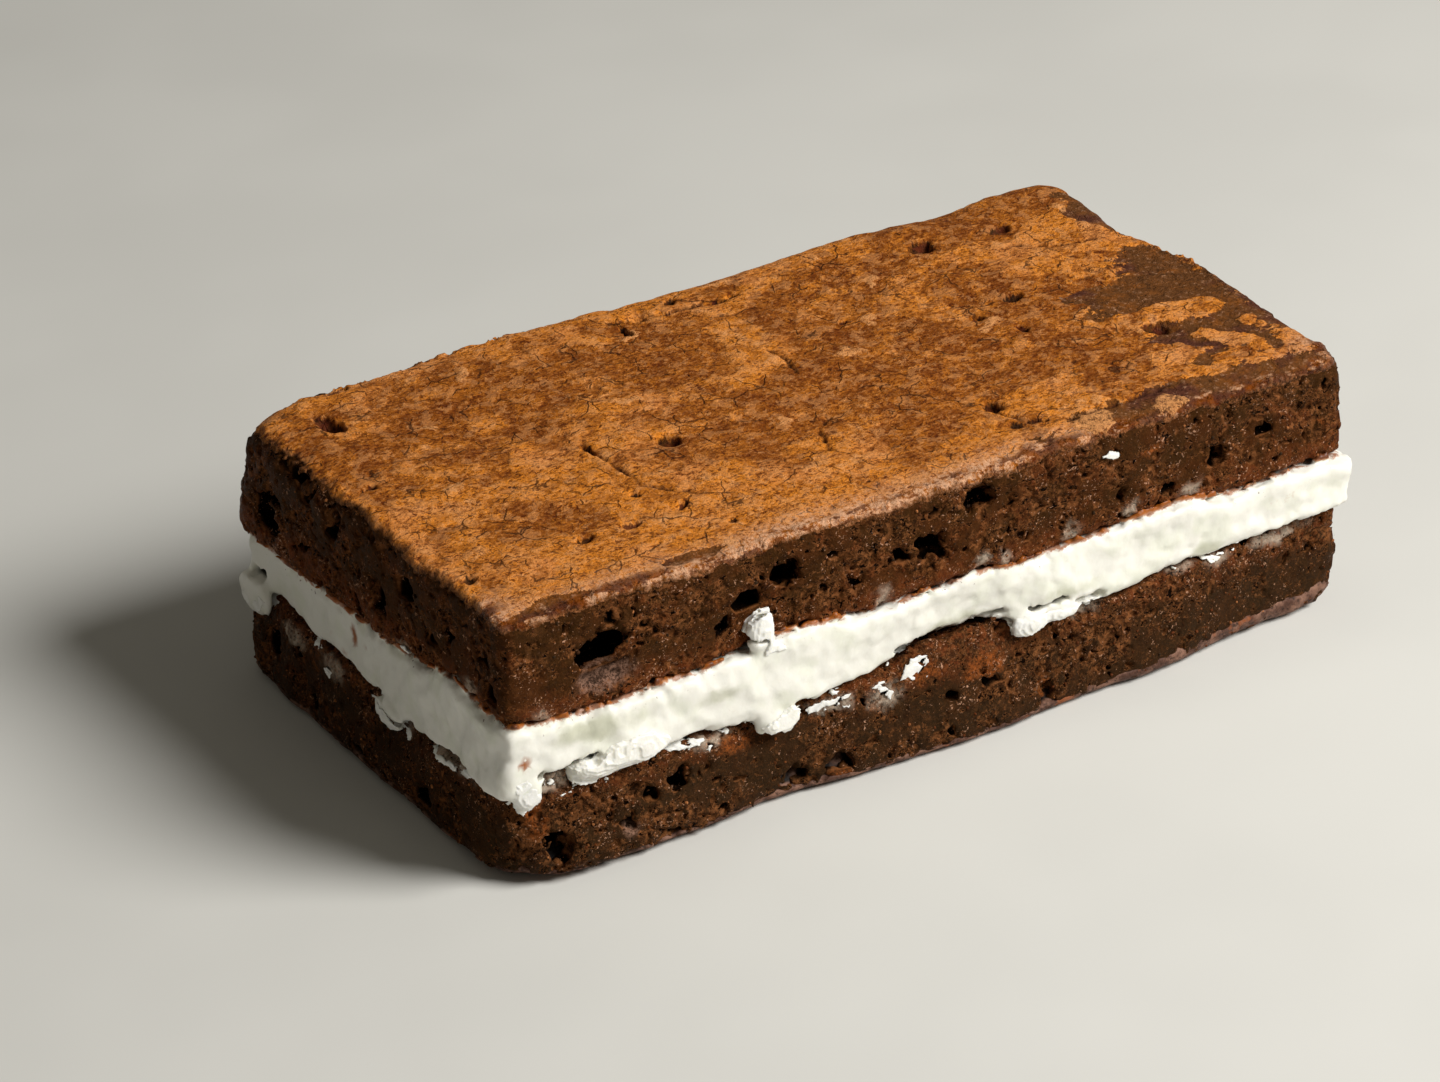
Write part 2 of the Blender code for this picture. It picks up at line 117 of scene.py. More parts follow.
class Field:
    """A number, vector or colour that comes out of a node. Sums, products, steps and blends of
    fields add the nodes that work them out."""

    def __init__(self, wiring, socket):
        self.wiring = wiring
        self.socket = socket
        self.is_vector = socket.type in ("VECTOR", "RGBA")

    def worked(self, operation, a, b):
        work = self.wiring.vector if self.is_vector else self.wiring.math
        return work(operation, a, b)

    def __add__(self, other):
        return self.worked("ADD", self, other)

    def __sub__(self, other):
        return self.worked("SUBTRACT", self, other)

    def __rsub__(self, other):
        return self.worked("SUBTRACT", other, self)

    def __mul__(self, other):
        single = isinstance(other, float) or (isinstance(other, Field) and not other.is_vector)
        if self.is_vector and single:
            return self.wiring.scaled(self, other)
        return self.worked("MULTIPLY", self, other)

    def __neg__(self):
        return self * -1.0

    def step(self, low, high, out_low=0.0, out_high=1.0):
        """A smooth step of the value from low to high."""
        inputs = {0: self, 1: low, 2: high, 3: out_low, 4: out_high}
        return self.wiring.node("ShaderNodeMapRange", inputs, interpolation_type="SMOOTHSTEP")[0]

    def blend(self, first, second):
        """The first colour where this is 0 and the second where it is 1."""
        return self.wiring.node("ShaderNodeMix", {0: self, 6: first, 7: second}, data_type="RGBA")[2]


class Outputs:
    """The fields that come out of a node, by number or name."""

    def __init__(self, wiring, sockets):
        self.wiring = wiring
        self.sockets = sockets

    def __getitem__(self, key):
        return Field(self.wiring, self.sockets[key])


class Wiring:
    """A node tree under construction: each call adds a node and returns what comes out of it."""

    def __init__(self, tree):
        self.tree = tree

    def node(self, kind, inputs=(), **settings):
        made = self.tree.nodes.new(kind)
        for name, value in settings.items():
            setattr(made, name, value)
        for name, value in dict(inputs).items():
            if isinstance(value, Field):
                self.tree.links.new(value.socket, made.inputs[name])
            else:
                made.inputs[name].default_value = value
        return Outputs(self, made.outputs)

    def math(self, operation, a, b=0.0, c=0.0, clamp=False):
        inputs = {0: a, 1: b, 2: c}
        return self.node("ShaderNodeMath", inputs, operation=operation, use_clamp=clamp)[0]

    def vector(self, operation, a, b=(0.0, 0.0, 0.0)):
        made = self.node("ShaderNodeVectorMath", {0: a, 1: b}, operation=operation)
        return made["Value" if operation in ("LENGTH", "DOT_PRODUCT") else "Vector"]

    def scaled(self, a, factor):
        return self.node("ShaderNodeVectorMath", {0: a, "Scale": factor}, operation="SCALE")["Vector"]

    def parts(self, a):
        return self.node("ShaderNodeSeparateXYZ", {0: a})

    def turned(self, place, degrees):
        inputs = {"Vector": place, "Angle": math.radians(degrees)}
        return self.node("ShaderNodeVectorRotate", inputs, rotation_type="Z_AXIS")[0]

    def noise(self, place, size, detail=2.0, roughness=0.5, seed=0, stretch=(1.0, 1.0, 1.0)):
        """Noise from 0 to 1, as fine as size, from the given draw."""
        return self.noise_node(place, size, detail, roughness, seed, stretch)["Fac"]

    def noise_node(self, place, size, detail, roughness, seed, stretch=(1.0, 1.0, 1.0)):
        drawn = place * stretch + tuple(shift * seed for shift in NOISE_SHIFT)
        inputs = {"Vector": drawn, "Scale": 1.0 / size, "Detail": detail, "Roughness": roughness}
        return self.node("ShaderNodeTexNoise", inputs)

    def wobble(self, place, size, amount, detail=1.0, seed=0):
        """The place, pushed about by noise."""
        push = self.noise_node(place, size, detail, 0.5, seed)["Color"] - HALF
        return place + push * amount

    def cells(self, place, size, seed=0, feature="F1"):
        """Voronoi cells of the given size."""
        drawn = place + tuple(shift * seed for shift in CELL_SHIFT)
        inputs = {"Vector": drawn, "Scale": 1.0 / size}
        return self.node("ShaderNodeTexVoronoi", inputs, feature=feature)

    def position(self):
        return self.node("GeometryNodeInputPosition")[0]

    def normal(self):
        return self.node("GeometryNodeInputNormal")[0]

    def mesh_of(self, given):
        """The mesh of an object that the tree is given."""
        return self.node("GeometryNodeObjectInfo", {"Object": given})["Geometry"]

    def gap_to(self, mesh, position=None, element="FACES"):
        """Millimetres from a position to the nearest face or edge of a mesh."""
        inputs = {0: mesh} if position is None else {0: mesh, 2: position}
        found = self.node("GeometryNodeProximity", inputs, target_element=element)
        return found["Distance"] * (1.0 / MM)


# Geometry Nodes.


def new_tree(name, sizes, objects=()):
    """A tree with one named input for each size and each object that it reads."""
    tree = bpy.data.node_groups.new(name, "GeometryNodeTree")
    sockets = tree.interface
    sockets.new_socket("Geometry", in_out="OUTPUT", socket_type="NodeSocketGeometry")
    sockets.new_socket("Geometry", in_out="INPUT", socket_type="NodeSocketGeometry")
    for size, value in sizes.items():
        kind = "NodeSocketInt" if isinstance(value, int) else "NodeSocketFloat"
        sockets.new_socket(size, in_out="INPUT", socket_type=kind).default_value = value
    for label in objects:
        sockets.new_socket(label, in_out="INPUT", socket_type="NodeSocketObject")
    wiring = Wiring(tree)
    entry = wiring.node("NodeGroupInput")
    return wiring, entry


def end_tree(wiring, geometry, material):
    """Ends a tree as every tree here ends: no instances left, and its material on."""
    real = wiring.node("GeometryNodeRealizeInstances", {0: geometry})[0]
    finished = wiring.node("GeometryNodeSetMaterial", {"Geometry": real, "Material": material})[0]
    wiring.node("NodeGroupOutput", {0: finished})
    return wiring.tree


def grow(source, tree, name, values):
    """What the tree makes of the source, as a plain mesh in an object of its own."""
    modifier = source.modifiers.new(tree.name, "NODES")
    modifier.node_group = tree
    for socket in tree.interface.items_tree:
        if socket.in_out == "INPUT" and socket.name in values:
            modifier[socket.identifier] = values[socket.name]
    mesh = as_modified(source)
    source.modifiers.remove(modifier)
    mesh.name = name
    finishes = [finish for finish in mesh.materials if finish]
    mesh.materials.clear()
    mesh.materials.append(finishes[0])
    mesh.polygons.foreach_set("material_index", [0] * len(mesh.polygons))
    return add_object(name, mesh)


def as_modified(made):
    """The object's mesh with its modifiers applied, as a new mesh."""
    graph = bpy.context.evaluated_depsgraph_get()
    return bpy.data.meshes.new_from_object(made.evaluated_get(graph), depsgraph=graph)


def add_object(name, data):
    made = bpy.data.objects.new(name, data)
    bpy.context.scene.collection.objects.link(made)
    return made


def add_helper(name, mesh):
    """An object that the trees read, and that doesn't stay in the scene."""
    made = add_object(name, mesh)
    made.hide_render = True
    return made


def bar_place(wiring, position):
    """A position in metres, as a place on the bar in millimetres."""
    return position * (1.0 / MM) - BAR_SHIFT


def from_outline(wiring, place):
    """Millimetres from the place to the nearest side of the bar's box, along X and along Y."""
    half = (cad_high - cad_low) / (2.0 * MM)
    return wiring.parts(tuple(half) - wiring.vector("ABSOLUTE", place))


def top_here(wiring, slab, place):
    """The height of the slab's top above the place, as it is inside the slab's rounded edge."""
    half = (cad_high - cad_low) / (2.0 * MM)
    reach = Vector((half.x - TOP_INSET, half.y - TOP_INSET, 0.0))
    inner = wiring.vector("MINIMUM", wiring.vector("MAXIMUM", place, tuple(-reach)), tuple(reach))
    above = (inner + (BAR_SHIFT + Vector((0.0, 0.0, ABOVE_BAR)))) * MM
    fall = wiring.node(
        "GeometryNodeRaycast",
        {"Target Geometry": slab, "Source Position": above, "Ray Direction": (0.0, 0.0, -1.0)},
    )
    return wiring.parts(fall["Hit Position"])[2] * (1.0 / MM)


def signed_distance(wiring, solid, place):
    """Millimetres from the surface of a closed solid to the place, below 0 inside it."""
    position = (place + BAR_SHIFT) * MM
    near = wiring.node("GeometryNodeProximity", {0: solid, 2: position}, target_element="FACES")
    facing = wiring.node(
        "GeometryNodeSampleNearestSurface",
        {
            "Mesh": solid,
            "Value": wiring.normal(),
            "Sample Position": position,
        },
        data_type="FLOAT_VECTOR",
    )
    away = position - near["Position"]
    side = wiring.math("SIGN", wiring.vector("DOT_PRODUCT", away, facing[0]))
    return near["Distance"] * (1.0 / MM) * side


def pores(wiring, place, spacing, radius, share, seed):
    """How far inside a pore the place is. A share of the cells hold one, each of its own size."""
    cell = wiring.cells(place, spacing, seed)
    draw = wiring.parts(cell["Color"])
    there = wiring.math("LESS_THAN", draw[0], share)
    reach = radius * there * draw[1].step(0.0, 1.0, 0.45, 1.0)
    return reach - cell["Distance"] * spacing


def nearest_ellipsoid(wiring, centres, place, boxy=False):
    """Millimetres from the surface of the ellipsoid whose centre is nearest. A boxy one bulges
    towards its corners."""
    position = (place + BAR_SHIFT) * MM
    index = wiring.node("GeometryNodeSampleNearest", {0: centres, "Sample Position": position})
    read = []
    for value in (
        wiring.position(),
        wiring.node(
            "GeometryNodeInputNamedAttribute", {"Name": "radii"}, data_type="FLOAT_VECTOR"
        )[0],
    ):
        sample = wiring.node(
            "GeometryNodeSampleIndex",
            {"Geometry": centres, "Value": value, "Index": index[0]},
            data_type="FLOAT_VECTOR",
        )
        read.append(sample[0])
    centre, radii = read
    away = (position - centre) * (1.0 / MM)
    share = wiring.vector("DIVIDE", away, radii)
    if boxy:
        share *= share
        unit = wiring.math("POWER", wiring.vector("LENGTH", share), 0.5)
    else:
        unit = wiring.vector("LENGTH", share)
    size = wiring.parts(radii)
    least = wiring.math("MINIMUM", size[0], wiring.math("MINIMUM", size[1], size[2]))
    return (unit - 1.0) * least


def fill_space(wiring, low, high, voxel, distance):
    """The mesh around all places where the distance is below 0."""
    across = wiring.parts((high - low) * (1.0 / MM))
    fall = -0.5 / DENSITY_REACH
    cube = {
        "Density": wiring.math("MULTIPLY_ADD", distance, fall, 0.5, clamp=True),
        "Min": low,
        "Max": high,
    }
    for axis, length in zip("XYZ", across):
        count = wiring.node("FunctionNodeFloatToInt", {0: wiring.math("DIVIDE", length, voxel)})
        cube[f"Resolution {axis}"] = count[0]
    volume = wiring.node("GeometryNodeVolumeCube", cube)
    mesh = wiring.node(
        "GeometryNodeVolumeToMesh",
        {"Volume": volume[0], "Threshold": 0.5},
        resolution_mode="GRID",
    )
    return mesh[0]


def largest_body(wiring, mesh, outside):
    """The mesh without the sealed bubbles inside it: the body nearest to a place outside stays."""
    island = wiring.node("GeometryNodeInputMeshIsland")["Island Index"]
    first = wiring.node("GeometryNodeSampleNearest", {0: mesh, "Sample Position": outside})
    outer = wiring.node(
        "GeometryNodeSampleIndex",
        {"Geometry": mesh, "Value": island, "Index": first[0]},
        data_type="INT",
    )
    other = wiring.node(
        "FunctionNodeCompare",
        {2: island, 3: outer[0]},
        data_type="INT",
        operation="NOT_EQUAL",
    )
    kept = wiring.node(
        "GeometryNodeDeleteGeometry", {0: mesh, "Selection": other[0]}, domain="POINT"
    )
    return kept[0]


def store(wiring, geometry, **values):
    """The geometry with each value on its points, as an attribute for the material."""
    for name, value in values.items():
        geometry = wiring.node(
            "GeometryNodeStoreNamedAttribute",
            {"Geometry": geometry, "Name": name, "Value": value},
            data_type="FLOAT",
            domain="POINT",
        )[0]
    return geometry


def without_hidden(wiring, mesh, slab, deepest=None):
    """The mesh without its faces between two layers, well inside the slab: all of them, or those
    that lie deeper in it than some millimetres."""
    box = wiring.node("GeometryNodeBoundBox", {0: slab})
    inset = (HIDDEN_INSET * MM, HIDDEN_INSET * MM, 0.0)
    position = wiring.position()
    low = box["Min"] + inset
    high = box["Max"] - inset
    over = wiring.parts(low - position)
    past = wiring.parts(position - high)
    outside = wiring.math("MAXIMUM", over[0], over[1])
    outside = wiring.math("MAXIMUM", outside, wiring.math("MAXIMUM", past[0], past[1]))
    hidden = wiring.math("LESS_THAN", outside, 0.0)
    if deepest is not None:
        depth = surface_depth(wiring, slab, bar_place(wiring, position))
        hidden *= wiring.math("GREATER_THAN", depth, deepest)
    kept = wiring.node(
        "GeometryNodeDeleteGeometry", {0: mesh, "Selection": hidden}, domain="FACE"
    )
    return kept[0]


def body_around(wiring, slab, field, voxel, start, low=None, high=None, deepest=None):
    """The mesh round the places near the slab where the field is below 0: the one body that is
    nearest to the start, shaded smooth, and without its hidden faces."""
    least, most = box_around(wiring, slab)
    if low:
        least = wiring.vector("MAXIMUM", least, low)
    if high:
        most = wiring.vector("MINIMUM", most, high)
    mesh = fill_space(wiring, least, most, voxel, field)
    mesh = largest_body(wiring, mesh, start)
    mesh = without_hidden(wiring, mesh, slab, deepest)
    return wiring.node("GeometryNodeSetShadeSmooth", {"Geometry": mesh})[0]


# Fields that the meshes and the materials share.

# Each patch on the top: middle x and y, half length, half width, turn.
# Where the papery skin is gone and dark crumb shows.
BARE_PATCHES = (
    (44.0, -8.0, 9.5, 17.0, 0.0), (39.0, -3.0, 6.5, 6.0, 0.0), (48.0, 16.0, 3.6, 9.0, 0.0),
    (33.0, -24.4, 21.0, 2.9, -1.0), (-44.0, -25.4, 6.5, 1.6, 0.0), (-27.5, -24.6, 5.0, 1.1, 3.0),
)
# Flakes of skin left within the bare places.
SKIN_FLAKES = (
    (36.0, -8.2, 2.8, 1.8, 0.0), (42.2, -9.4, 4.4, 2.6, -12.0), (33.4, -15.0, 2.0, 5.4, 0.0),
    (42.0, -16.6, 1.6, 4.0, 35.0), (46.2, -14.6, 1.3, 1.2, 0.0), (40.2, 2.6, 1.3, 0.9, 0.0),
    (43.6, 10.6, 3.4, 3.8, 0.0),
)
# Where the skin is browner.
BROWN_PATCHES = (
    (-36.0, 12.0, 9.0, 7.5, 0.0), (-23.0, 15.0, 10.0, 7.0, 10.0), (-9.0, 12.0, 9.0, 8.0, 0.0),
    (-46.0, 11.0, 2.5, 6.0, 0.0), (0.0, -3.0, 11.0, 5.0, 0.0), (10.0, 3.0, 9.0, 9.0, 0.0),
    (20.0, -6.0, 8.0, 11.0, -35.0), (28.0, 4.0, 7.0, 8.0, 0.0), (10.0, -13.0, 9.0, 5.0, 20.0),
    (-9.0, -6.0, 7.0, 4.0, 0.0), (14.0, 17.0, 11.0, 5.0, 0.0), (33.0, 20.0, 9.0, 4.0, 0.0),
    (29.0, -13.0, 5.0, 8.0, 0.0), (-36.0, -11.0, 5.0, 3.0, 0.0), (45.0, 22.0, 5.0, 3.6, 0.0),
)
# Where it is thick and light all the same.
LIGHT_PATCHES = (
    (1.0, 9.5, 3.4, 6.5, 10.0), (18.0, -16.5, 5.0, 3.6, -10.0), (-16.0, 5.4, 4.6, 1.8, -18.0),
    (20.0, 8.0, 3.0, 6.0, 0.0), (33.0, 11.0, 5.0, 6.0, 0.0), (42.0, 13.0, 5.0, 4.0, 0.0),
)
# Pale, dry flakes.
PALE_FLAKES = (
    (20.2, -24.0, 2.7, 2.0, 25.0), (29.0, -24.8, 1.7, 1.4, 0.0), (22.9, -21.0, 0.8, 1.2, 0.0),
    (23.6, -0.4, 2.0, 0.7, 25.0), (0.5, 5.8, 0.9, 0.8, 0.0), (-16.4, 6.2, 2.2, 0.6, -25.0),
    (-40.0, 0.2, 1.2, 0.9, 0.0), (8.6, 2.6, 1.5, 0.9, 0.0), (-27.6, 21.0, 0.5, 1.2, -30.0),
    (-35.6, 13.0, 0.6, 0.5, 0.0), (19.0, 15.4, 0.8, 1.0, 0.0), (-8.6, 18.6, 1.6, 0.7, 20.0),
    (45.0, 18.4, 0.7, 1.2, 0.0), (-5.0, -6.0, 0.7, 1.2, -20.0), (14.0, 8.0, 0.6, 1.2, 20.0),
    (5.6, 24.0, 1.4, 0.5, 0.0),
)
# Pits in the top, in dark crumb, partly painted near black as shadow.
PITS = (
    (27.6, 18.8, 1.9, 1.3, 40.0), (29.2, 3.6, 1.2, 0.9, 0.0), (26.0, -3.0, 0.6, 0.9, 0.0),
    (-43.8, 19.6, 1.0, 2.8, 12.0), (-47.0, 5.0, 1.0, 0.6, 0.0), (-17.2, -3.0, 1.3, 1.3, 0.0),
    (-34.6, -15.8, 1.4, 0.7, 25.0), (-29.4, -16.0, 1.2, 0.7, 0.0), (-23.2, -15.4, 1.0, 0.5, 35.0),
    (-20.6, -21.0, 0.5, 0.5, 0.0), (-48.0, -16.8, 0.6, 0.8, 0.0), (37.4, -10.6, 1.4, 1.2, 0.0),
    (14.0, -15.4, 0.8, 1.3, 0.0), (13.6, -20.0, 0.9, 1.0, 0.0), (15.6, -20.4, 1.4, 0.6, -20.0),
    (48.0, 11.2, 1.1, 0.9, 0.0), (5.0, 20.6, 0.9, 0.5, 0.0), (-6.0, 21.8, 1.1, 0.7, -30.0),
    (-1.0, 23.4, 0.7, 1.1, -20.0), (0.0, 20.9, 5.0, 0.35, -2.0), (-8.4, 20.0, 0.4, 1.8, 0.0),
    (37.0, 17.6, 1.2, 1.0, 0.0), (-24.9, -0.4, 0.4, 1.4, -8.0), (-26.0, -11.0, 0.6, 0.6, 0.0),
    (23.4, 1.6, 0.9, 0.5, 0.0), (11.6, 9.0, 0.5, 0.5, 0.0), (-39.6, 25.6, 1.6, 0.8, 0.0),
)


def blot(wiring, place, patch):
    """1 in the middle of an oval patch, 0 at its rim and below 0 outside it."""
    x, y, half_length, half_width, turn = patch
    moved = place - (x, y, 0.0)
    shrink = (1.0 / half_length, 1.0 / half_width, 0.0)
    unit = wiring.turned(moved, -turn) * shrink
    return 1.0 - wiring.vector("LENGTH", unit)


def blots(wiring, place, patches):
    """The highest of several patches, no lower than -1."""
    highest = -1.0
    for patch in patches:
        highest = wiring.math("MAXIMUM", highest, blot(wiring, place, patch))
    return highest


def skin_left(wiring, place):
    """Above 0 where the papery skin is left on the crust, below 0 where it is gone."""
    ragged = wiring.noise(place, 5.0, 6.0, 0.66, 21, stretch=(1.0, 1.3, 1.0))
    gone = blots(wiring, place, BARE_PATCHES) * 1.5
    bent = wiring.wobble(place, 2.2, 3.0, detail=3.0, seed=20)
    kept = wiring.math("MAXIMUM", blots(wiring, bent, SKIN_FLAKES), -0.4) * 3.0
    left = (ragged - 0.4) * 3.2 - gone
    return wiring.math("MAXIMUM", left, kept + (ragged - 0.5) * 4.0)


def light_skin(wiring, place):
    """Above 0 where the skin is light and thick, below 0 where it is thin and browner."""
    ragged = wiring.noise(place, 6.0, 6.0, 0.57, 22, stretch=(1.0, 1.2, 1.0))
    brown = blots(wiring, place, BROWN_PATCHES)
    light = wiring.math("MAXIMUM", blots(wiring, place, LIGHT_PATCHES), -0.15)
    level = (ragged - 0.5) * 5.0 - brown * 0.9
    return level + light * 2.0


def pit_share(wiring, place):
    """1 in a pit of the top and 0 outside it."""
    bent = wiring.wobble(place, 1.1, 1.2, detail=2.0, seed=26)
    bent = wiring.wobble(bent, 0.5, 0.7, detail=2.0, seed=45)
    return blots(wiring, bent, PITS).step(0.0, 0.22)


def pale_flakes(wiring, place):
    """1 on a pale flake of the top and 0 outside it."""
    bent = wiring.wobble(wiring.wobble(place, 2.0, 2.4, seed=27), 0.7, 1.5, detail=3.0, seed=28)
    return blots(wiring, bent, PALE_FLAKES).step(0.0, 0.12)


def crumbly_patches(wiring, grain):
    """1 where the cut face is crumbly, 0 where the knife has smeared it smooth."""
    return wiring.noise(grain, 4.6, 4.0, 0.62, 4).step(0.47, 0.57)


def pinholes(wiring, grain):
    """Below 0 in the smallest holes of the crumb, and up to 0.1 on their rims."""
    wide = grain * (1.0, 1.0, 1.35)
    fine = wiring.noise(wiring.wobble(wide, 0.6, 0.6, seed=13), 1.15, 4.0, 0.66, 14)
    few = crumbly_patches(wiring, grain) * 0.065
    return fine - (few + 0.35)


def surface_depth(wiring, slab, place):
    """How deep in the slab the place lies."""
    return -signed_distance(wiring, slab, place)


def box_around(wiring, geometry, room=BOX_ROOM):
    """The lowest and highest corner of a box around the geometry, with room in millimetres."""
    box = wiring.node("GeometryNodeBoundBox", {0: geometry})
    low = box["Min"] - (room * MM,) * 3
    high = box["Max"] + (room * MM,) * 3
    return low, high


CRUMB_SIZES = {
    "Voxel": CRUMB_VOXEL,
    "Raggedness": 1.3,
    "Blockiness": 0.75,
    "Roughness": 0.34,
    "Crevice": 0.6,
    "Big pore": 1.2,
    "Middle pore": 0.80,
    "Small pore": 0.50,
    "Pore share": 0.30,
    "End pores": 0.26,
    "Top cover": 0.0,
    "Bottom cover": 0.0,
    "Seed": 1,
}


def crumb_tree(material):
    """Open, fudgy crumb: the slab's own surface, with crumbly patches and pores of three sizes."""
    objects = ("Hollows", "Stains", "Smears", "Lit floors")
    wiring, entry = new_tree("open crumb", CRUMB_SIZES, objects)
    slab = entry["Geometry"]
    position = wiring.position()
    place = bar_place(wiring, position)
    height = wiring.parts(place)[2]
    grain = place + wiring.scaled(NOISE_SHIFT, entry["Seed"])
    # Single crumbs: each cell of about a millimetre is pushed its own way.
    crumb = wiring.cells(wiring.wobble(grain, 0.9, 0.7, seed=9), 0.95, 12)["Color"]
    crumb -= HALF
    blocky = crumb * entry["Blockiness"]
    # Raggedness moves the surface along the cut faces, and hardly in or out of them, so that
    # the edges and the holes are torn while the knife's cut stays flat.
    outline = from_outline(wiring, place)
    along = wiring.node(
        "ShaderNodeCombineXYZ",
        {0: outline[0].step(1.5, 5.0, 0.16, 1.0), 1: outline[1].step(1.5, 5.0, 0.16, 1.0), 2: 0.8},
    )[0]
    push = wiring.wobble(grain, 1.6, 1.0, detail=3.0) - grain
    push = push * entry["Raggedness"] + blocky
    push *= along
    surface = signed_distance(wiring, slab, place + push)
    patches = crumbly_patches(wiring, grain)
    rough = wiring.noise(grain, 1.0, 3.0, 0.65, 3) - 0.5
    rough += wiring.parts(crumb)[0] * 0.7
    rough *= patches.step(0.0, 1.0, 0.15, 1.0)
    rough *= entry["Roughness"]
    crevice = wiring.math("ABSOLUTE", wiring.noise(grain, 2.6, 2.0, 0.6, 7) - 0.5)
    crevice = crevice.step(0.035, 0.0) * (patches * entry["Crevice"])
    pinhole = pinholes(wiring, grain).step(0.03, -0.03, 0.0, 0.5)
    surface = surface + rough + crevice + pinhole
    depth = -surface
    at_end = outline[0].step(3.0, 0.5) * entry["End pores"]
    open_share = wiring.noise(grain, 8.0, 1.0, 0.5, 5).step(0.32, 0.66) * entry["Pore share"]
    open_share += at_end
    torn = wiring.wobble(wiring.wobble(grain, 2.2, 1.6, seed=8), 0.8, 0.7, detail=1.0, seed=6)
    torn += blocky
    hollow = surface
    for label, spacing, deepest, seed in (
        ("Big pore", 5.6, 2.6, 1),
        ("Middle pore", 2.5, 1.6, 2),
        ("Small pore", 1.2, 0.9, 3),
    ):
        inside = pores(wiring, torn, spacing, entry[label], open_share, seed)
        sealed = wiring.math("MAXIMUM", depth - deepest, 0.0) * 2.0
        hollow = wiring.math("SMOOTH_MAX", hollow, inside - sealed, 0.06)
    pushed = (torn - grain) * along
    torn_place = place + pushed
    hollows = wiring.mesh_of(entry["Hollows"])
    round_hole = nearest_ellipsoid(wiring, hollows, torn_place, boxy=True)
    hollow = wiring.math("SMOOTH_MAX", hollow, -round_hole, 0.06)
    # Under the crust and the underside's skin the crumb draws back a little.
    inward = wiring.math("MINIMUM", outline[0], outline[1])
    from_top = top_here(wiring, slab, place) - height
    deeper = from_top.step(2.8, 2.2) * inward.step(2.5, 4.0, 0.0, 2.4)
    covered = wiring.math("MAXIMUM", from_top.step(0.6, 0.2), deeper)
    covered *= entry["Top cover"]
    grounded = height.step(0.7, 0.3) * entry["Bottom cover"]
    hollow += covered + grounded
    mesh = body_around(wiring, slab, hollow, entry["Voxel"], (1.0, 0.0, 0.0))
    stain = nearest_ellipsoid(wiring, wiring.mesh_of(entry["Stains"]), torn_place)
    smear = nearest_ellipsoid(wiring, wiring.mesh_of(entry["Smears"]), torn_place)
    # Painted light: up-facing floors of the named holes, which the material colours pale as where the
    # light reaches.
    floor = nearest_ellipsoid(wiring, wiring.mesh_of(entry["Lit floors"]), place)
    turned_up = wiring.parts(wiring.normal())[2]
    floor = floor.step(0.2, -0.4) * turned_up.step(-0.35, 0.1)
    stain = stain.step(0.15, -0.3)
    smear = smear.step(0.25, -0.5)
    depth = surface_depth(wiring, slab, place)
    mesh = store(wiring, mesh, depth=depth, stain=stain, smear=smear, floor=floor)
    return end_tree(wiring, mesh, material)


CRUST_SIZES = {
    "Voxel": CRUST_VOXEL,
    "Proud": 0.04,
    "Skin step": 0.16,
    "Light skin step": 0.07,
    "Pale flake": 0.14,
    "Wrinkle": 0.30,
    "Edge crumb": 0.7,
    "Crack depth": 0.45,
    "Pit depth": 0.75,
    "Border drop": CRUST_DROP,
}


def crust_tree(material):
    """The papery top: a lid over the slab's top and rounded edges, with torn and cracked skin."""
    wiring, entry = new_tree("papery crust", CRUST_SIZES, ("Cracks",))
    slab = entry["Geometry"]
    position = wiring.position()
    place = bar_place(wiring, position)
    surface = signed_distance(wiring, slab, wiring.wobble(place, 2.4, 0.4, detail=1.0, seed=11))
    flat = place * FLAT
    skin = skin_left(wiring, flat).step(-0.05, 0.05)
    light = light_skin(wiring, flat).step(-0.08, 0.08)
    pale = pale_flakes(wiring, flat)
    wrinkle = wiring.noise(flat, 3.2, 4.0, 0.65, 23) - 0.5
    outline = from_outline(wiring, place)
    inward = wiring.math("MINIMUM", outline[0], outline[1])
    crumb = wiring.cells(wiring.wobble(place, 0.9, 0.8, seed=28), 1.1, 29)
    crumb = wiring.parts(crumb["Color"])[0] - 0.6
    at_edge = wiring.math("MINIMUM", outline[0], outline[1] - 0.6)
    crumb = crumb * entry["Edge crumb"] * at_edge.step(3.2, 0.4)
    rise = entry["Proud"] + skin * entry["Skin step"]
    rise += light * skin * entry["Light skin step"]
    rise += pale * entry["Pale flake"]
    rise += wrinkle * entry["Wrinkle"]
    rise += crumb
    bent = wiring.wobble(flat, 1.3, 1.1, seed=24) + BAR_SHIFT
    crack = wiring.gap_to(wiring.mesh_of(entry["Cracks"]), bent * MM, "EDGES")
    crack = crack.step(0.36, 0.08)
    crack *= wiring.noise(flat, 2.2, 2.0, 0.5, 30).step(0.36, 0.46)
    rise -= crack * entry["Crack depth"]
    pit = pit_share(wiring, flat)
    rise -= pit * entry["Pit depth"]
    ragged = (wiring.noise(place, 2.4, 6.0, 0.72, 25) - 0.5) * 3.6
    border = top_here(wiring, slab, place) + ragged - entry["Border drop"]
    border -= inward.step(1.8, 4.6, 0.0, LID_DEPTH)
    below = border - wiring.parts(place)[2]
    rise = rise * below.step(-0.1, -1.3) + 0.03
    lid = wiring.math("SMOOTH_MAX", surface - rise, below, 0.05)
    lowest = (-1.0, -1.0, cad_high.z - CRUST_BOX * MM)
    upwards = (0.0, 0.0, 1.0)
    mesh = body_around(
        wiring, slab, lid, entry["Voxel"], upwards, low=lowest, deepest=HIDDEN_DEPTH
    )
    # How shut in the surface is, a millimetre above it: the material paints shade into these hollows.
    above = place + upwards
    shut_in = 1.0 - signed_distance(wiring, slab, above)
    mesh = store(
        wiring,
        mesh,
        crack=crack,
        pit=shut_in.step(0.12, 0.45),
        inward=inward,
        depth=surface_depth(wiring, slab, place),
        rim=below.step(-0.9, -0.15),
    )
    return end_tree(wiring, mesh, material)


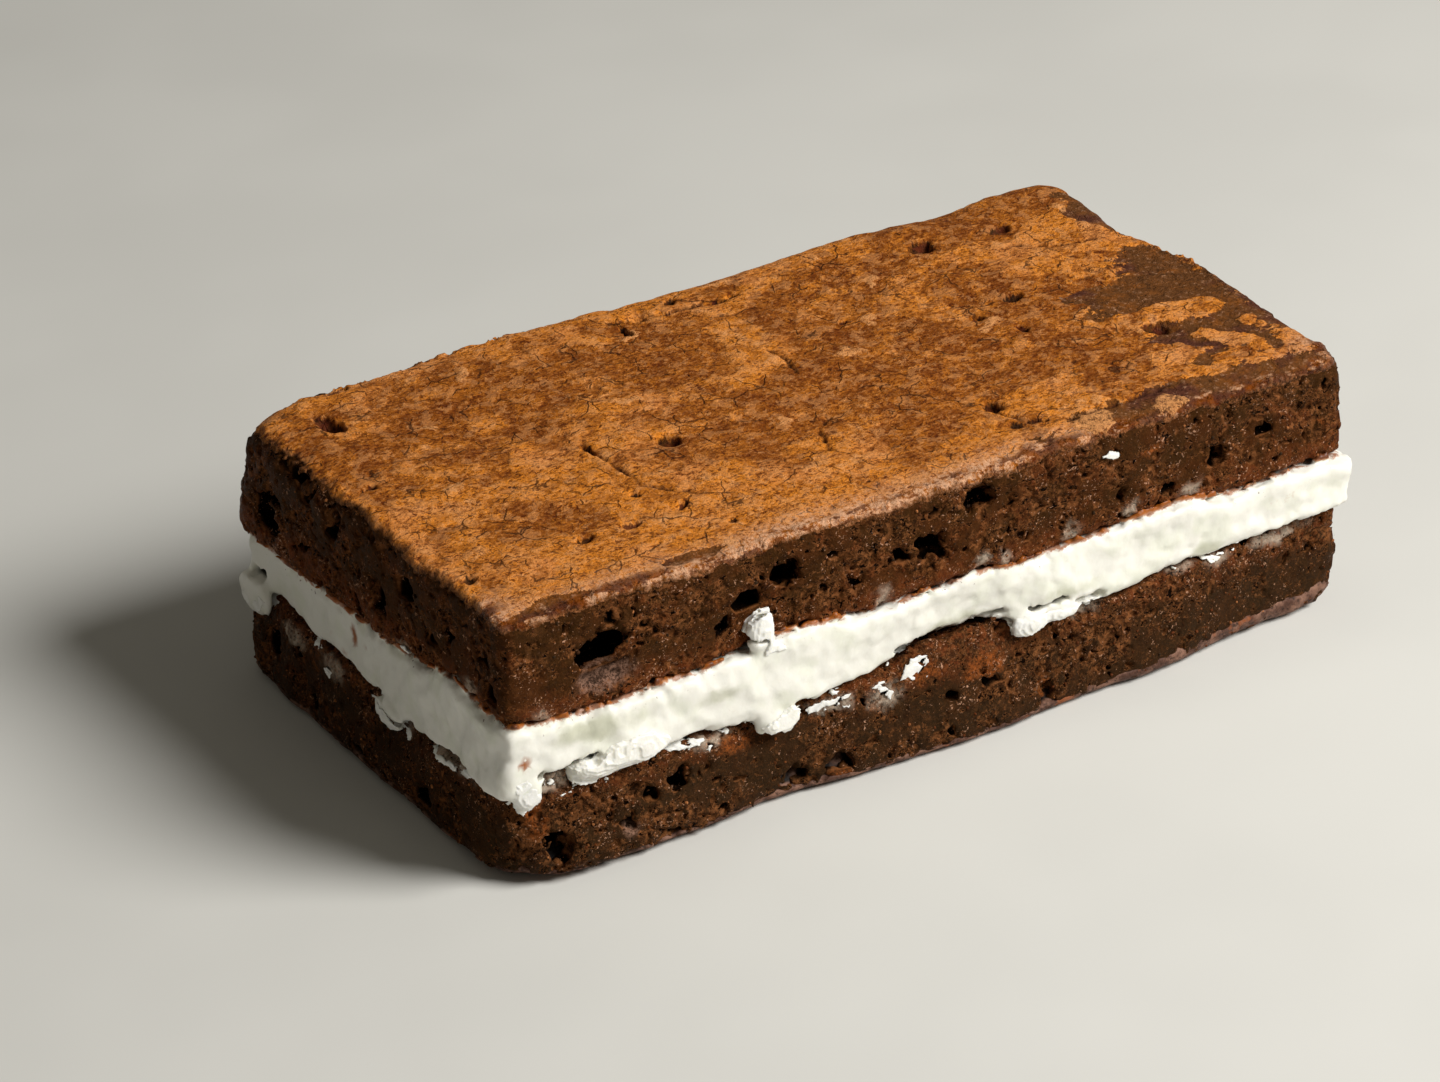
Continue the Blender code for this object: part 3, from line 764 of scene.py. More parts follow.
CREAM_SIZES = {
    "Voxel": CREAM_VOXEL,
    "Swell": 0.12,
    "Unevenness": 0.9,
    "Ragged edge": 1.0,
    "Lump": 0.8,
    "Smear": 1.3,
    "Smear thickness": 0.36,
}


def cream_tree(material):
    """Soft cream between the two brownies: lumpy, smeared up over the cut face above, and with
    gaps at its foot."""
    objects = ("Gaps", "Stains", "Shades", "Brownie above")
    wiring, entry = new_tree("pressed cream", CREAM_SIZES, objects)
    slab = entry["Geometry"]
    position = wiring.position()
    place = bar_place(wiring, position)
    push = wiring.wobble(place, 3.2, 1.0, detail=2.0, seed=31) - place
    bent = place + push * entry["Unevenness"]
    fine = wiring.wobble(place, 1.1, 1.0, detail=3.0, seed=39) - place
    fine *= (0.3, 0.3, 1.0)
    bent += fine * entry["Ragged edge"]
    bare = signed_distance(wiring, slab, bent)
    lump = wiring.noise(place, 4.2, 2.0, 0.45, 32, stretch=(0.7, 0.7, 1.3)) - 0.5
    surface = bare - (entry["Swell"] + lump * entry["Lump"])
    # Smears: where the cream is near, the cut face above wears a thin coat of it.
    teeth = wiring.noise(place, 2.0, 4.0, 0.62, 37, stretch=(1.0, 1.0, 0.35))
    reach = teeth.step(0.42, 0.68, 0.12, 1.0) * entry["Smear"]
    brownie = wiring.gap_to(wiring.mesh_of(entry["Brownie above"]), position)
    coat = brownie - entry["Smear thickness"]
    coat = wiring.math("SMOOTH_MAX", coat, bare - reach, 0.2)
    surface = wiring.math("SMOOTH_MIN", surface, coat, 0.5)
    torn = wiring.wobble(wiring.wobble(place, 2.0, 1.2, seed=34), 0.8, 0.8, seed=33)
    gap = nearest_ellipsoid(wiring, wiring.mesh_of(entry["Gaps"]), torn, boxy=True)
    surface = wiring.math("SMOOTH_MAX", surface, -gap, 0.1)
    mesh = body_around(wiring, slab, surface, entry["Voxel"], (0.0, -1.0, 0.0))
    stain = nearest_ellipsoid(wiring, wiring.mesh_of(entry["Stains"]), torn)
    shade = nearest_ellipsoid(wiring, wiring.mesh_of(entry["Shades"]), torn)
    cut = surface_depth(wiring, slab, place).step(0.5, 1.0)
    # The gap is stored for the painted shadow inside the gaps, and the shade for painted shade on the
    # darker parts.
    mesh = store(
        wiring,
        mesh,
        brownie=brownie,
        coat=bare.step(0.1, 1.3),
        stain=stain.step(0.1, -0.3),
        shade=shade.step(0.0, -0.7),
        gap=gap.step(0.3, 0.1) * cut,
    )
    return end_tree(wiring, mesh, material)


FLAKE_SIZES = {
    "Voxel": FLAKE_VOXEL,
    "Thickness": 0.38,
    "Unevenness": 0.36,
    "Raggedness": 1.2,
    "Grain": 0.6,
    "Softness": 0.25,
    "Scatter": 0.0,
}
# Of the thicker, softer pieces.
SOFT_SIZES = {"Unevenness": 0.4, "Raggedness": 0.8, "Grain": 0.35, "Softness": 0.5}


def flake_tree(material, face):
    """Torn, flat flakes of cream that lie on one face of the bar, within the given outlines."""
    wiring, entry = new_tree("torn cream " + face, FLAKE_SIZES, ("Bar",))
    outlines = entry["Geometry"]
    place = bar_place(wiring, wiring.position())
    coarse = wiring.wobble(place, 2.0, 1.0, detail=2.0, seed=35) - place
    fine = wiring.wobble(place, 0.7, 1.0, detail=2.0, seed=36) - place
    torn = place + coarse * entry["Raggedness"]
    torn += fine * entry["Grain"]
    in_plane = (1.0, 0.0, 1.0) if face == "front" else (0.0, 1.0, 1.0)
    flat = torn * in_plane
    lump = wiring.noise(place, 1.9, 1.5, 0.5, 38) - 0.5
    thick = entry["Thickness"] + lump * entry["Unevenness"]
    across = wiring.gap_to(outlines, flat * MM) - 0.06
    island = 0.5 - wiring.noise(torn, 1.9, 3.0, 0.6, 44, stretch=(0.6, 0.6, 1.0))
    island = (island + entry["Scatter"] * 0.1) * 4.0
    island *= wiring.math("GREATER_THAN", entry["Scatter"], 0.0)
    across = wiring.math("MAXIMUM", across, island)
    away = wiring.gap_to(wiring.mesh_of(entry["Bar"])) - thick
    surface = wiring.math("SMOOTH_MAX", across, away, entry["Softness"])
    low, high = box_around(wiring, outlines, FLAKE_ROOM)
    hidden = {"front": 1, "left": 0}[face]
    start = [-1.0, -1.0, -1.0]
    start[hidden] = cad_low[hidden] - MM
    stop = [1.0, 1.0, 1.0]
    stop[hidden] = cad_low[hidden] + FLAKE_BOX * MM
    reach = [0.0, 0.0, 0.0]
    reach[hidden] = 1.0
    low = wiring.vector("MAXIMUM", low - reach, start)
    high = wiring.vector("MINIMUM", high + reach, stop)
    mesh = fill_space(wiring, low, high, entry["Voxel"], surface)
    smooth = wiring.node("GeometryNodeSetShadeSmooth", {"Geometry": mesh})[0]
    return end_tree(wiring, smooth, material)


SKIN_SIZES = {"Voxel": SKIN_VOXEL, "Proud": 0.08, "Border level": SKIN_LEVEL, "Wrinkle": 0.2}


def underside_tree(material):
    """The lower brownie's own skin, which it lies on, up to a ragged line round its sides."""
    wiring, entry = new_tree("underside skin", SKIN_SIZES)
    slab = entry["Geometry"]
    position = wiring.position()
    place = bar_place(wiring, position)
    height = wiring.parts(place)[2]
    surface = signed_distance(wiring, slab, wiring.wobble(place, 2.0, 0.4, seed=41))
    wrinkle = wiring.noise(place, 2.6, 3.0, 0.6, 42) - 0.5
    surface -= entry["Proud"] + wrinkle * entry["Wrinkle"]
    ragged = wiring.noise(place, 1.6, 5.0, 0.7, 43) - 0.5
    border = entry["Border level"] + ragged * 2.2
    border += wiring.parts(place)[0].step(8.0, 30.0, 0.0, 0.9)
    outline = from_outline(wiring, place)
    inward = wiring.math("MINIMUM", outline[0], outline[1])
    border += inward.step(1.4, 4.2, 0.0, LID_DEPTH)
    surface = wiring.math("SMOOTH_MAX", surface, height - border, 0.1)
    surface = wiring.math("MAXIMUM", surface, 0.02 - height)
    highest = (1.0, 1.0, SKIN_BOX * MM)
    downwards = (0.0, 0.0, -1.0)
    mesh = body_around(
        wiring, slab, surface, entry["Voxel"], downwards, high=highest, deepest=HIDDEN_DEPTH
    )
    mesh = store(wiring, mesh, depth=surface_depth(wiring, slab, place))
    return end_tree(wiring, mesh, material)


GRAIN_SIZES = {
    "Per square centimetre": 70.0,
    "Smallest": 0.10,
    "Largest": 0.27,
    "Seed": 1,
}
FULL_TURN = 6.28
SMALLEST_SHAPE = 0.55  # of the lumps' sides, to their largest


def grain_tree(material):
    """Loose crumbs on the cut faces: small lumps, each with its own size and turn."""
    wiring, entry = new_tree("loose crumbs", GRAIN_SIZES)
    crumb = entry["Geometry"]
    place = bar_place(wiring, wiring.position())
    upright = wiring.math("ABSOLUTE", wiring.parts(wiring.normal())[2])
    depth = wiring.node(
        "GeometryNodeInputNamedAttribute", {"Name": "depth"}, data_type="FLOAT"
    )[0]
    share = upright.step(0.75, 0.45) * depth.step(0.5, 0.25)
    share *= wiring.noise(place, 4.0, 3.0, 0.6, 92).step(0.44, 0.6, 0.15, 1.0)
    spread = wiring.node(
        "GeometryNodeDistributePointsOnFaces",
        {
            "Mesh": crumb,
            "Density": share * (entry["Per square centimetre"] * 1e4),
            "Seed": entry["Seed"],
        },
        distribute_method="RANDOM",
    )
    lump = wiring.node("GeometryNodeMeshIcoSphere", {"Radius": MM, "Subdivisions": 1})
    tone = wiring.node("FunctionNodeRandomValue", {"Seed": entry["Seed"]}, data_type="FLOAT")
    points = store(wiring, spread["Points"], tone=tone[1])
    turns = {0: (0.0,) * 3, 1: (FULL_TURN,) * 3}
    turn = wiring.node("FunctionNodeRandomValue", turns, data_type="FLOAT_VECTOR")
    sides = {0: (SMALLEST_SHAPE,) * 3, 1: (1.0,) * 3}
    shape = wiring.node("FunctionNodeRandomValue", sides, data_type="FLOAT_VECTOR")
    draw = wiring.node("FunctionNodeRandomValue", data_type="FLOAT")
    draw = wiring.math("POWER", draw[1], 2.0)
    reach = entry["Largest"] - entry["Smallest"]
    radius = entry["Smallest"] + draw * reach
    grains = wiring.node(
        "GeometryNodeInstanceOnPoints",
        {"Points": points, "Instance": lump[0], "Rotation": turn[0], "Scale": shape[0] * radius},
    )
    return end_tree(wiring, grains[0], material)


# Meshes.


def soft_copy(node, voxel=SOFT_VOXEL, rounds=SOFT_ROUNDS):
    """The CAD solid as an even, rounded mesh, free of its facets, to measure distances to."""
    made = add_helper(node + "_soft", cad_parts[node].data.copy())
    whole = bmesh.new()
    whole.from_mesh(made.data)
    bmesh.ops.remove_doubles(whole, verts=whole.verts, dist=WELD)
    whole.to_mesh(made.data)
    whole.free()
    remesh = made.modifiers.new("even", "REMESH")
    remesh.mode = "VOXEL"
    remesh.voxel_size = voxel * MM
    smooth = made.modifiers.new("rounded", "SMOOTH")
    smooth.factor = 0.5
    smooth.iterations = rounds
    mesh = as_modified(made)
    made.modifiers.clear()
    made.data = mesh
    return made


def close_flat(piece):
    """Closes each hole left by the hidden faces, and any small tear, with one flat face."""
    mesh = bmesh.new()
    mesh.from_mesh(piece.data)
    tangled = {vert for edge in mesh.edges if len(edge.link_faces) > 2 for vert in edge.verts}
    bmesh.ops.delete(mesh, geom=list(tangled), context="VERTS")
    crossed = [vert for vert in mesh.verts if rim_edges(vert) > 2]
    while crossed:
        bmesh.ops.delete(mesh, geom=crossed, context="VERTS")
        crossed = [vert for vert in mesh.verts if vert.is_boundary and rim_edges(vert) > 2]
    bmesh.ops.edgeloop_fill(mesh, edges=[edge for edge in mesh.edges if edge.is_boundary])
    bmesh.ops.holes_fill(mesh, edges=[edge for edge in mesh.edges if edge.is_boundary], sides=0)
    loose = [vert for vert in mesh.verts if not vert.link_faces]
    bmesh.ops.delete(mesh, geom=loose, context="VERTS")
    mesh.to_mesh(piece.data)
    mesh.free()


def thin_out(piece):
    """Joins the flattest triangles of a piece that has more than it needs."""
    count = sum(len(face.vertices) - 2 for face in piece.data.polygons)
    if count <= PIECE_TRIANGLES:
        return
    thinner = piece.modifiers.new("thinner", "DECIMATE")
    thinner.ratio = PIECE_TRIANGLES / count
    mesh = as_modified(piece)
    piece.modifiers.clear()
    piece.data = mesh


def rim_edges(vert):
    return sum(edge.is_boundary for edge in vert.link_edges)


def centres_object(name, ellipsoids):
    """Points at the ellipsoids' centres, with their radii in millimetres on them."""
    mesh = bpy.data.meshes.new(name)
    mesh.from_pydata([centre for centre, _ in ellipsoids], [], [])
    radii = mesh.attributes.new("radii", "FLOAT_VECTOR", "POINT")
    radii.data.foreach_set("vector", np.ravel([size for _, size in ellipsoids]))
    return add_helper(name, mesh)


def joined(name, solids):
    """One mesh of several solids."""
    whole = bmesh.new()
    for solid in solids:
        whole.from_mesh(solid.data)
    mesh = bpy.data.meshes.new(name)
    whole.to_mesh(mesh)
    whole.free()
    return add_helper(name, mesh)


def outlines_object(name, face, outlines):
    """Flat outlines, given in millimetres along the face and up, in the plane of that face
    through the bar's middle."""
    points = []
    faces = []
    for outline in outlines:
        faces.append(range(len(points), len(points) + len(outline)))
        for along, up in outline:
            point = (along, 0.0, up) if face == "front" else (0.0, along, up)
            points.append(tuple(value * MM for value in point))
    mesh = bpy.data.meshes.new(name)
    mesh.from_pydata(points, [], [tuple(corners) for corners in faces])
    return add_helper(name, mesh)


# Named places on the food.


def on_face(tree, face, place, height):
    """The outermost point of the front or left face at a place along it and a height, if the
    solid is met there, and the way out of the face."""
    if face == "front":
        start = Vector((place, -OUTSIDE["front"], height))
        way = Vector((0.0, 1.0, 0.0))
    else:
        start = Vector((-OUTSIDE["left"], place, height))
        way = Vector((1.0, 0.0, 0.0))
    start = (start + BAR_SHIFT) * MM
    return tree.ray_cast(start, way)[0], -way


def ellipsoids(name, solid, spots, out=0.0):
    """Ellipsoids on the faces of a solid, with their centres moved out by some millimetres."""
    tree = BVHTree.FromObject(solid, bpy.context.evaluated_depsgraph_get())
    found = []
    for face, rows in spots.items():
        for place, height, width, tall, depth in rows:
            centre, outward = on_face(tree, face, place, height)
            if centre is None:
                continue
            if face == "front":
                radii = (width / 2, depth, tall / 2)
            else:
                radii = (depth, width / 2, tall / 2)
            found.append((centre + outward * (out * MM), radii))
    return centres_object(name, found)


# Holes in the cut faces, on each face: place along it, height, width, height across, depth.
UPPER_HOLES = {
    "front": (
        (-39.1, 23.2, 7.2, 4.5, 2.8), (-39.0, 21.1, 6.2, 2.6, 0.9), (-38.2, 26.5, 1.2, 0.6, 0.6),
        (-46.8, 23.7, 0.9, 0.7, 0.7), (-28.0, 24.1, 1.3, 0.8, 0.9), (-25.7, 21.9, 2.1, 2.1, 1.8),
        (-22.2, 23.6, 4.0, 2.1, 2.4), (-18.1, 25.6, 3.6, 3.2, 3.1), (-12.7, 26.0, 1.4, 0.9, 0.9),
        (-9.6, 21.7, 1.3, 1.0, 1.0), (-10.4, 23.4, 1.0, 0.6, 0.7), (-4.7, 23.0, 2.0, 1.7, 1.8),
        (-1.0, 23.3, 3.2, 2.9, 2.5), (-1.2, 27.0, 1.5, 0.9, 0.9), (4.8, 26.8, 3.8, 2.6, 3.0),
        (8.6, 25.1, 0.9, 0.7, 0.7), (11.5, 23.7, 1.4, 0.7, 0.8), (2.8, 21.6, 0.9, 0.9, 0.8),
        (10.3, 20.9, 1.4, 0.7, 0.9), (17.6, 25.2, 0.9, 0.7, 0.7), (22.0, 21.7, 1.6, 0.8, 1.0),
        (27.8, 20.8, 2.1, 1.3, 1.4), (34.2, 22.7, 2.5, 2.1, 2.1), (38.0, 20.8, 1.5, 0.7, 0.9),
        (43.2, 21.4, 1.0, 0.6, 0.7), (-32.8, 20.2, 1.0, 0.8, 0.8),
    ),
    "left": (
        (20.6, 21.0, 4.4, 3.8, 2.8), (18.4, 23.4, 2.2, 1.4, 1.6), (14.2, 20.0, 2.0, 0.9, 1.2),
        (6.8, 26.4, 1.7, 4.4, 2.2), (-1.4, 21.6, 3.0, 4.2, 2.8), (-7.6, 25.0, 3.8, 3.0, 2.6),
        (-22.2, 24.2, 2.0, 1.5, 1.4), (12.0, 26.8, 2.0, 1.0, 1.0), (-12.4, 22.4, 1.2, 1.8, 1.0),
    ),
}
LOWER_HOLES = {
    "front": (
        (-45.4, 4.0, 2.4, 4.0, 2.7), (-31.5, 7.0, 2.1, 2.0, 1.9), (-34.7, 6.2, 2.0, 1.4, 1.5),
        (-37.6, 4.3, 1.8, 1.5, 1.2), (-32.7, 1.6, 1.5, 0.9, 0.9), (-40.0, 5.6, 0.9, 0.7, 0.7),
        (-18.0, 2.4, 3.2, 1.5, 2.0), (-12.8, 2.4, 3.4, 1.5, 2.0), (0.4, 5.9, 1.8, 1.2, 1.4),
        (0.2, 2.3, 1.2, 1.3, 1.0), (5.3, 6.5, 1.8, 1.0, 1.3), (7.3, 11.0, 1.7, 1.4, 2.2),
        (12.0, 1.7, 2.0, 1.6, 2.0), (16.3, 5.1, 0.8, 0.6, 0.7), (19.8, 5.2, 0.9, 0.7, 0.7),
        (26.0, 7.3, 1.1, 0.8, 0.8), (-24.4, 4.4, 1.2, 0.6, 0.8), (-45.4, 12.6, 3.6, 0.8, 1.6),
        (-41.4, 12.9, 4.0, 1.2, 2.2), (-30.3, 11.3, 5.0, 0.7, 1.8), (-16.8, 10.8, 2.2, 1.1, 1.8),
    ),
    "left": (
        (21.5, 5.2, 2.8, 3.2, 2.0), (12.4, 2.6, 2.4, 2.2, 1.8), (-9.6, 2.4, 3.6, 1.6, 1.8),
        (3.6, 1.8, 2.6, 1.2, 1.4), (-15.2, 3.6, 1.4, 1.2, 1.2), (16.0, 7.2, 1.8, 1.4, 1.4),
    ),
}
# Gaps in the foot of the cream. Those that end low also cut off the cream's pressed-out rim,
# where the torn flakes below lie instead, and one takes off the dab that runs up the face.
CREAM_GAPS = {
    "front": (
        (-45.4, 12.4, 3.8, 0.9, 2.0), (-41.8, 12.2, 4.4, 2.0, 2.2), (-37.6, 11.0, 4.6, 2.6, 1.5),
        (-33.9, 10.9, 3.6, 1.8, 1.5), (-30.3, 11.2, 4.8, 0.9, 2.2), (-16.9, 11.0, 2.2, 1.1, 2.4),
        (10.6, 10.4, 6.4, 2.4, 1.5), (12.4, 12.4, 8.0, 0.7, 1.7), (17.6, 11.8, 3.6, 0.9, 1.7),
        (-21.4, 21.4, 5.6, 4.4, 3.4), (-48.8, 9.4, 3.4, 2.2, 1.4), (-1.2, 12.6, 9.0, 1.2, 1.7),
        (5.8, 12.9, 4.4, 0.9, 1.3),
    ),
    "left": (
        (24.0, 12.6, 3.0, 0.9, 1.8), (9.6, 10.2, 3.4, 1.4, 1.8), (-1.4, 10.6, 2.6, 0.7, 1.8),
        (-4.0, 8.4, 5.0, 2.0, 1.6), (-15.6, 10.2, 5.6, 0.7, 1.6),
    ),
}
# Parts of the cream painted a little darker: painted shade where it recedes and under its bulges.
CREAM_SHADES = {
    "front": (
        (-40.0, 15.9, 14.0, 3.0, 1.6), (-27.0, 15.0, 7.0, 2.2, 1.4), (2.0, 13.6, 13.0, 1.8, 1.4),
        (14.6, 13.4, 11.0, 1.8, 1.4), (32.4, 12.9, 4.6, 2.4, 1.4), (-6.6, 11.6, 9.0, 1.2, 1.2),
    ),
}
# Torn flakes of cream: outlines on the front in x and height, and on the left in y and height.
FOOT_CHUNKS = (
    (
        (-43.6, 10.8), (-43.4, 12.2), (-42.2, 12.6), (-41.2, 12.3), (-40.2, 13.2), (-38.6, 13.8),
        (-36.8, 14.0), (-34.6, 13.8), (-32.8, 12.6), (-33.4, 11.8), (-34.6, 11.4), (-36.4, 10.9),
        (-38.2, 10.8), (-39.6, 10.5), (-40.8, 10.0), (-42.2, 10.2),
    ),
    (
        (-22.2, 9.7), (-21.4, 10.4), (-20.0, 10.9), (-18.6, 11.4), (-17.8, 10.8), (-18.0, 9.9),
        (-18.8, 9.2), (-18.8, 8.7), (-19.5, 8.5), (-20.2, 9.2), (-21.4, 9.1),
    ),
)
# The tongue of cream that runs up the cut face above.
TONGUE = (
    (
        (-21.0, 17.6), (-20.8, 19.3), (-21.4, 19.8), (-22.3, 19.7), (-22.9, 20.4), (-22.5, 21.5),
        (-21.6, 22.2), (-20.0, 22.2), (-19.6, 21.3), (-19.7, 19.6), (-19.5, 18.6), (-18.7, 17.6),
    ),
)
FOOT_FLAKES = (
    (
        (-32.8, 10.2), (-31.8, 10.8), (-30.4, 10.7), (-28.6, 10.4), (-28.2, 10.0), (-29.2, 9.8),
        (-30.8, 10.0), (-32.0, 9.9),
    ),
    (
        (-16.1, 9.2), (-15.4, 9.8), (-14.0, 9.7), (-12.6, 10.0), (-11.2, 10.0), (-11.6, 9.5),
        (-13.2, 9.3), (-15.0, 8.9),
    ),
    ((-9.2, 9.3), (-8.4, 9.7), (-7.0, 9.1), (-6.2, 8.6), (-6.6, 7.8), (-7.4, 8.6), (-8.6, 8.9)),
    ((-5.4, 9.7), (-4.6, 10.9), (-3.2, 11.6), (-2.0, 11.3), (-2.0, 10.5), (-2.8, 9.9), (-4.0, 9.3)),
)
RIGHT_FLAKES = (
    (
        (8.3, 11.3), (8.6, 12.0), (9.8, 12.2), (11.6, 11.9), (13.6, 11.7), (15.8, 11.3), (17.6, 11.4),
        (19.4, 11.3), (19.5, 10.6), (18.2, 10.4), (16.8, 10.5), (16.4, 9.9), (15.8, 10.4), (13.6, 10.5),
        (11.6, 10.2), (10.2, 9.8), (8.7, 9.8),
    ),
    ((32.6, 11.2), (33.4, 11.4), (34.4, 11.0), (34.0, 10.7), (33.0, 10.7)),
)
CORNER_SCRAP = (
    (
        (-50.0, 12.8), (-48.8, 12.9), (-48.0, 12.0), (-47.2, 11.3), (-46.9, 10.3), (-47.4, 9.3),
        (-48.0, 9.0), (-48.2, 8.1), (-48.8, 8.6), (-49.4, 9.7), (-50.0, 10.8),
    ),
)
# Bands where small scraps of cream are strewn over the crumb.
SCRAP_BANDS = (
    (
        (-46.4, 11.4), (-41.0, 10.4), (-34.0, 10.6), (-26.0, 10.6), (-16.0, 10.8), (-8.0, 11.4),
        (-2.4, 12.0), (-2.0, 9.0), (-6.0, 7.6), (-12.0, 8.2), (-20.0, 8.4), (-27.0, 9.2),
        (-34.0, 9.0), (-40.0, 9.2), (-46.4, 9.6),
    ),
    ((15.0, 11.0), (30.0, 12.2), (46.0, 12.0), (46.0, 10.6), (34.0, 10.2), (22.0, 10.4), (15.0, 9.6)),
)
FACE_CRUMB = (((19.3, 27.0), (20.2, 27.5), (21.6, 27.4), (21.7, 26.7), (21.0, 26.3), (20.4, 26.7)),)
LEFT_FLAKES = (
    ((26.8, 9.4), (25.4, 11.0), (23.2, 11.4), (21.6, 10.4), (22.4, 9.0), (24.6, 8.4), (26.0, 8.0)),
    ((12.6, 10.6), (12.0, 11.4), (10.8, 11.2), (10.4, 10.2), (11.2, 9.5), (12.2, 9.6)),
    ((9.9, 8.2), (9.2, 8.6), (8.2, 8.2), (8.8, 7.6), (9.7, 7.6)),
    (
        (0.8, 9.3), (-1.0, 9.8), (-3.0, 9.5), (-5.2, 9.0), (-6.6, 7.7), (-6.0, 7.2), (-4.0, 7.8),
        (-2.0, 8.6), (0.2, 8.8),
    ),
    ((-10.8, 9.4), (-13.0, 8.8), (-16.0, 8.6), (-19.0, 9.2), (-19.8, 10.0), (-15.6, 9.2), (-12.8, 9.4)),
    ((-5.9, 18.0), (-6.6, 18.5), (-7.3, 18.0), (-7.0, 17.4), (-6.2, 17.4)),
)
# Thin films of cream on the cut faces, in the same way as the holes.
UPPER_SMEARS = {
    "front": (
        (-46.4, 18.6, 1.4, 2.6, 1.0), (-7.0, 19.2, 1.8, 2.8, 1.0), (4.8, 19.9, 1.9, 2.4, 1.0),
        (7.6, 19.4, 1.5, 2.8, 1.0), (15.8, 19.8, 1.6, 2.8, 1.0), (23.0, 19.8, 1.4, 2.6, 1.0),
        (30.6, 19.6, 2.8, 2.4, 1.0),
    ),
    "left": ((-19.6, 20.0, 2.0, 2.2, 1.0), (-6.4, 18.0, 1.9, 1.8, 1.0)),
}
LOWER_SMEARS = {
    "front": (
        (-45.4, 11.0, 4.2, 2.0, 1.0), (-27.0, 10.0, 5.0, 1.4, 1.0), (-13.4, 9.3, 7.0, 1.6, 1.0),
        (-7.2, 8.4, 4.0, 2.8, 1.0), (17.4, 10.2, 4.4, 1.6, 1.0), (29.0, 11.2, 4.0, 1.2, 1.0),
        (33.8, 10.9, 3.2, 1.4, 1.0), (42.0, 10.8, 9.0, 1.4, 1.0),
    ),
    "left": (
        (-15.0, 9.4, 9.0, 1.3, 1.0), (-3.4, 8.6, 7.0, 2.0, 1.0), (8.4, 9.0, 4.4, 2.4, 1.0),
        (17.0, 8.8, 6.0, 2.2, 1.0),
    ),
}
# Rusty or reddish stains on the brownies.
UPPER_STAINS = {
    "front": ((25.5, 25.8, 2.4, 1.2, 0.8), (47.4, 23.0, 0.9, 0.7, 0.6)),
}
LOWER_STAINS = {
    "front": (
        (4.6, 8.2, 5.4, 2.6, 1.4), (-2.6, 9.6, 5.0, 1.6, 1.2), (-12.9, 1.2, 3.4, 1.0, 0.8),
        (-47.4, 7.0, 2.4, 4.0, 1.6), (-24.0, 8.4, 7.0, 1.6, 1.4), (11.4, 3.4, 1.8, 3.6, 1.2),
        (44.9, 1.6, 5.4, 0.9, 0.9),
    ),
}
# Floors of holes that the light reaches: painted light, coloured paler where they face up.
UPPER_FLOORS = {
    "front": ((-39.0, 21.0, 7.4, 3.6, 2.6),),
}
LOWER_FLOORS = {
    "front": ((-37.6, 3.9, 2.0, 1.6, 1.3), (-44.0, 12.0, 4.0, 1.4, 1.8)),
}
CREAM_STAINS = {
    "front": ((-48.8, 14.6, 1.3, 1.9, 0.7),),
    "left": ((4.0, 14.3, 1.5, 2.2, 0.8), (5.6, 12.0, 1.0, 0.9, 0.6), (1.2, 14.4, 0.6, 0.5, 0.4)),
}
CRACKS = (
    ((-25.0, 1.0), (-24.6, -4.0), (-24.5, -10.0), (-20.0, -14.5)),
    ((13.0, -15.0), (13.6, -17.5), (15.0, -20.0)),
    ((14.0, -21.6), (22.0, -22.6), (31.0, -21.8)),
    ((-9.0, 22.4), (-2.0, 21.2), (4.0, 20.4)),
    ((1.6, 8.0), (2.0, 5.0), (1.4, 2.0)),
    ((-5.0, -14.0), (-3.4, -10.0), (-1.0, -7.6)),
    ((36.0, 14.0), (39.0, 11.0), (44.0, 10.0)),
)


def crack_lines(name, lines):
    """The cracks as edges in the plane that heights are left out of."""
    mesh = bpy.data.meshes.new(name)
    points = []
    edges = []
    for line in lines:
        first = len(points)
        points += [((x + BAR_SHIFT.x) * MM, (y + BAR_SHIFT.y) * MM, 0.0) for x, y in line]
        edges += [(first + n, first + n + 1) for n in range(len(line) - 1)]
    mesh.from_pydata(points, edges, [])
    return add_helper(name, mesh)


# Materials.


def paint(red, green, blue):
    """A colour as it is seen on a screen, from 0 to 255, as the light that it stands for."""
    levels = [value / 255 for value in (red, green, blue)]
    linear = [v / 12.92 if v <= 0.04045 else ((v + 0.055) / 1.055) ** 2.4 for v in levels]
    return (*linear, 1.0)


def new_material(name):
    material = bpy.data.materials.new(name)
    material.use_nodes = True
    material.node_tree.nodes.clear()
    wiring = Wiring(material.node_tree)
    position = wiring.node("ShaderNodeTexCoord")["Object"]
    return material, wiring, bar_place(wiring, position)


def attribute(wiring, name):
    return wiring.node("ShaderNodeAttribute", attribute_name=name)["Fac"]


def finish_material(wiring, colour, roughness, height, **sockets):
    """The surface, with its relief given in millimetres."""
    bump = wiring.node("ShaderNodeBump", {"Strength": 1.0, "Distance": MM, "Height": height})[0]
    values = {"Base Color": colour, "Roughness": roughness, "Normal": bump}
    values.update({name.replace("_", " "): value for name, value in sockets.items()})
    surface = wiring.node("ShaderNodeBsdfPrincipled", values)[0]
    wiring.node("ShaderNodeOutputMaterial", {"Surface": surface})


FUDGE = paint(54, 31, 8)
FUDGE_RED = paint(90, 44, 16)
FUDGE_LOW = paint(47, 31, 15)
FUDGE_LOW_RED = paint(66, 37, 17)
CRUMB_WARM = paint(120, 58, 26)
# A tan for crumb edges and loose crumbs, and also for painted light and painted highlights on the
# crumb.
CRUMB_TAN_AND_HIGHLIGHT = paint(158, 100, 58)
CRUMB_GLINT = paint(206, 156, 124)
CRUMB_SHADE = paint(30, 10, 0)
# Near black, for painted shadow in holes, pits and gaps, and for dark grit.
SHADOW_AND_GRIT_DARK = paint(10, 3, 0)
# Pale floors of holes, painted where the light reaches them.
LIT_PORE_FLOOR = paint(140, 106, 88)
RUST = paint(150, 80, 34)
CREAM_FILM = paint(202, 184, 164)


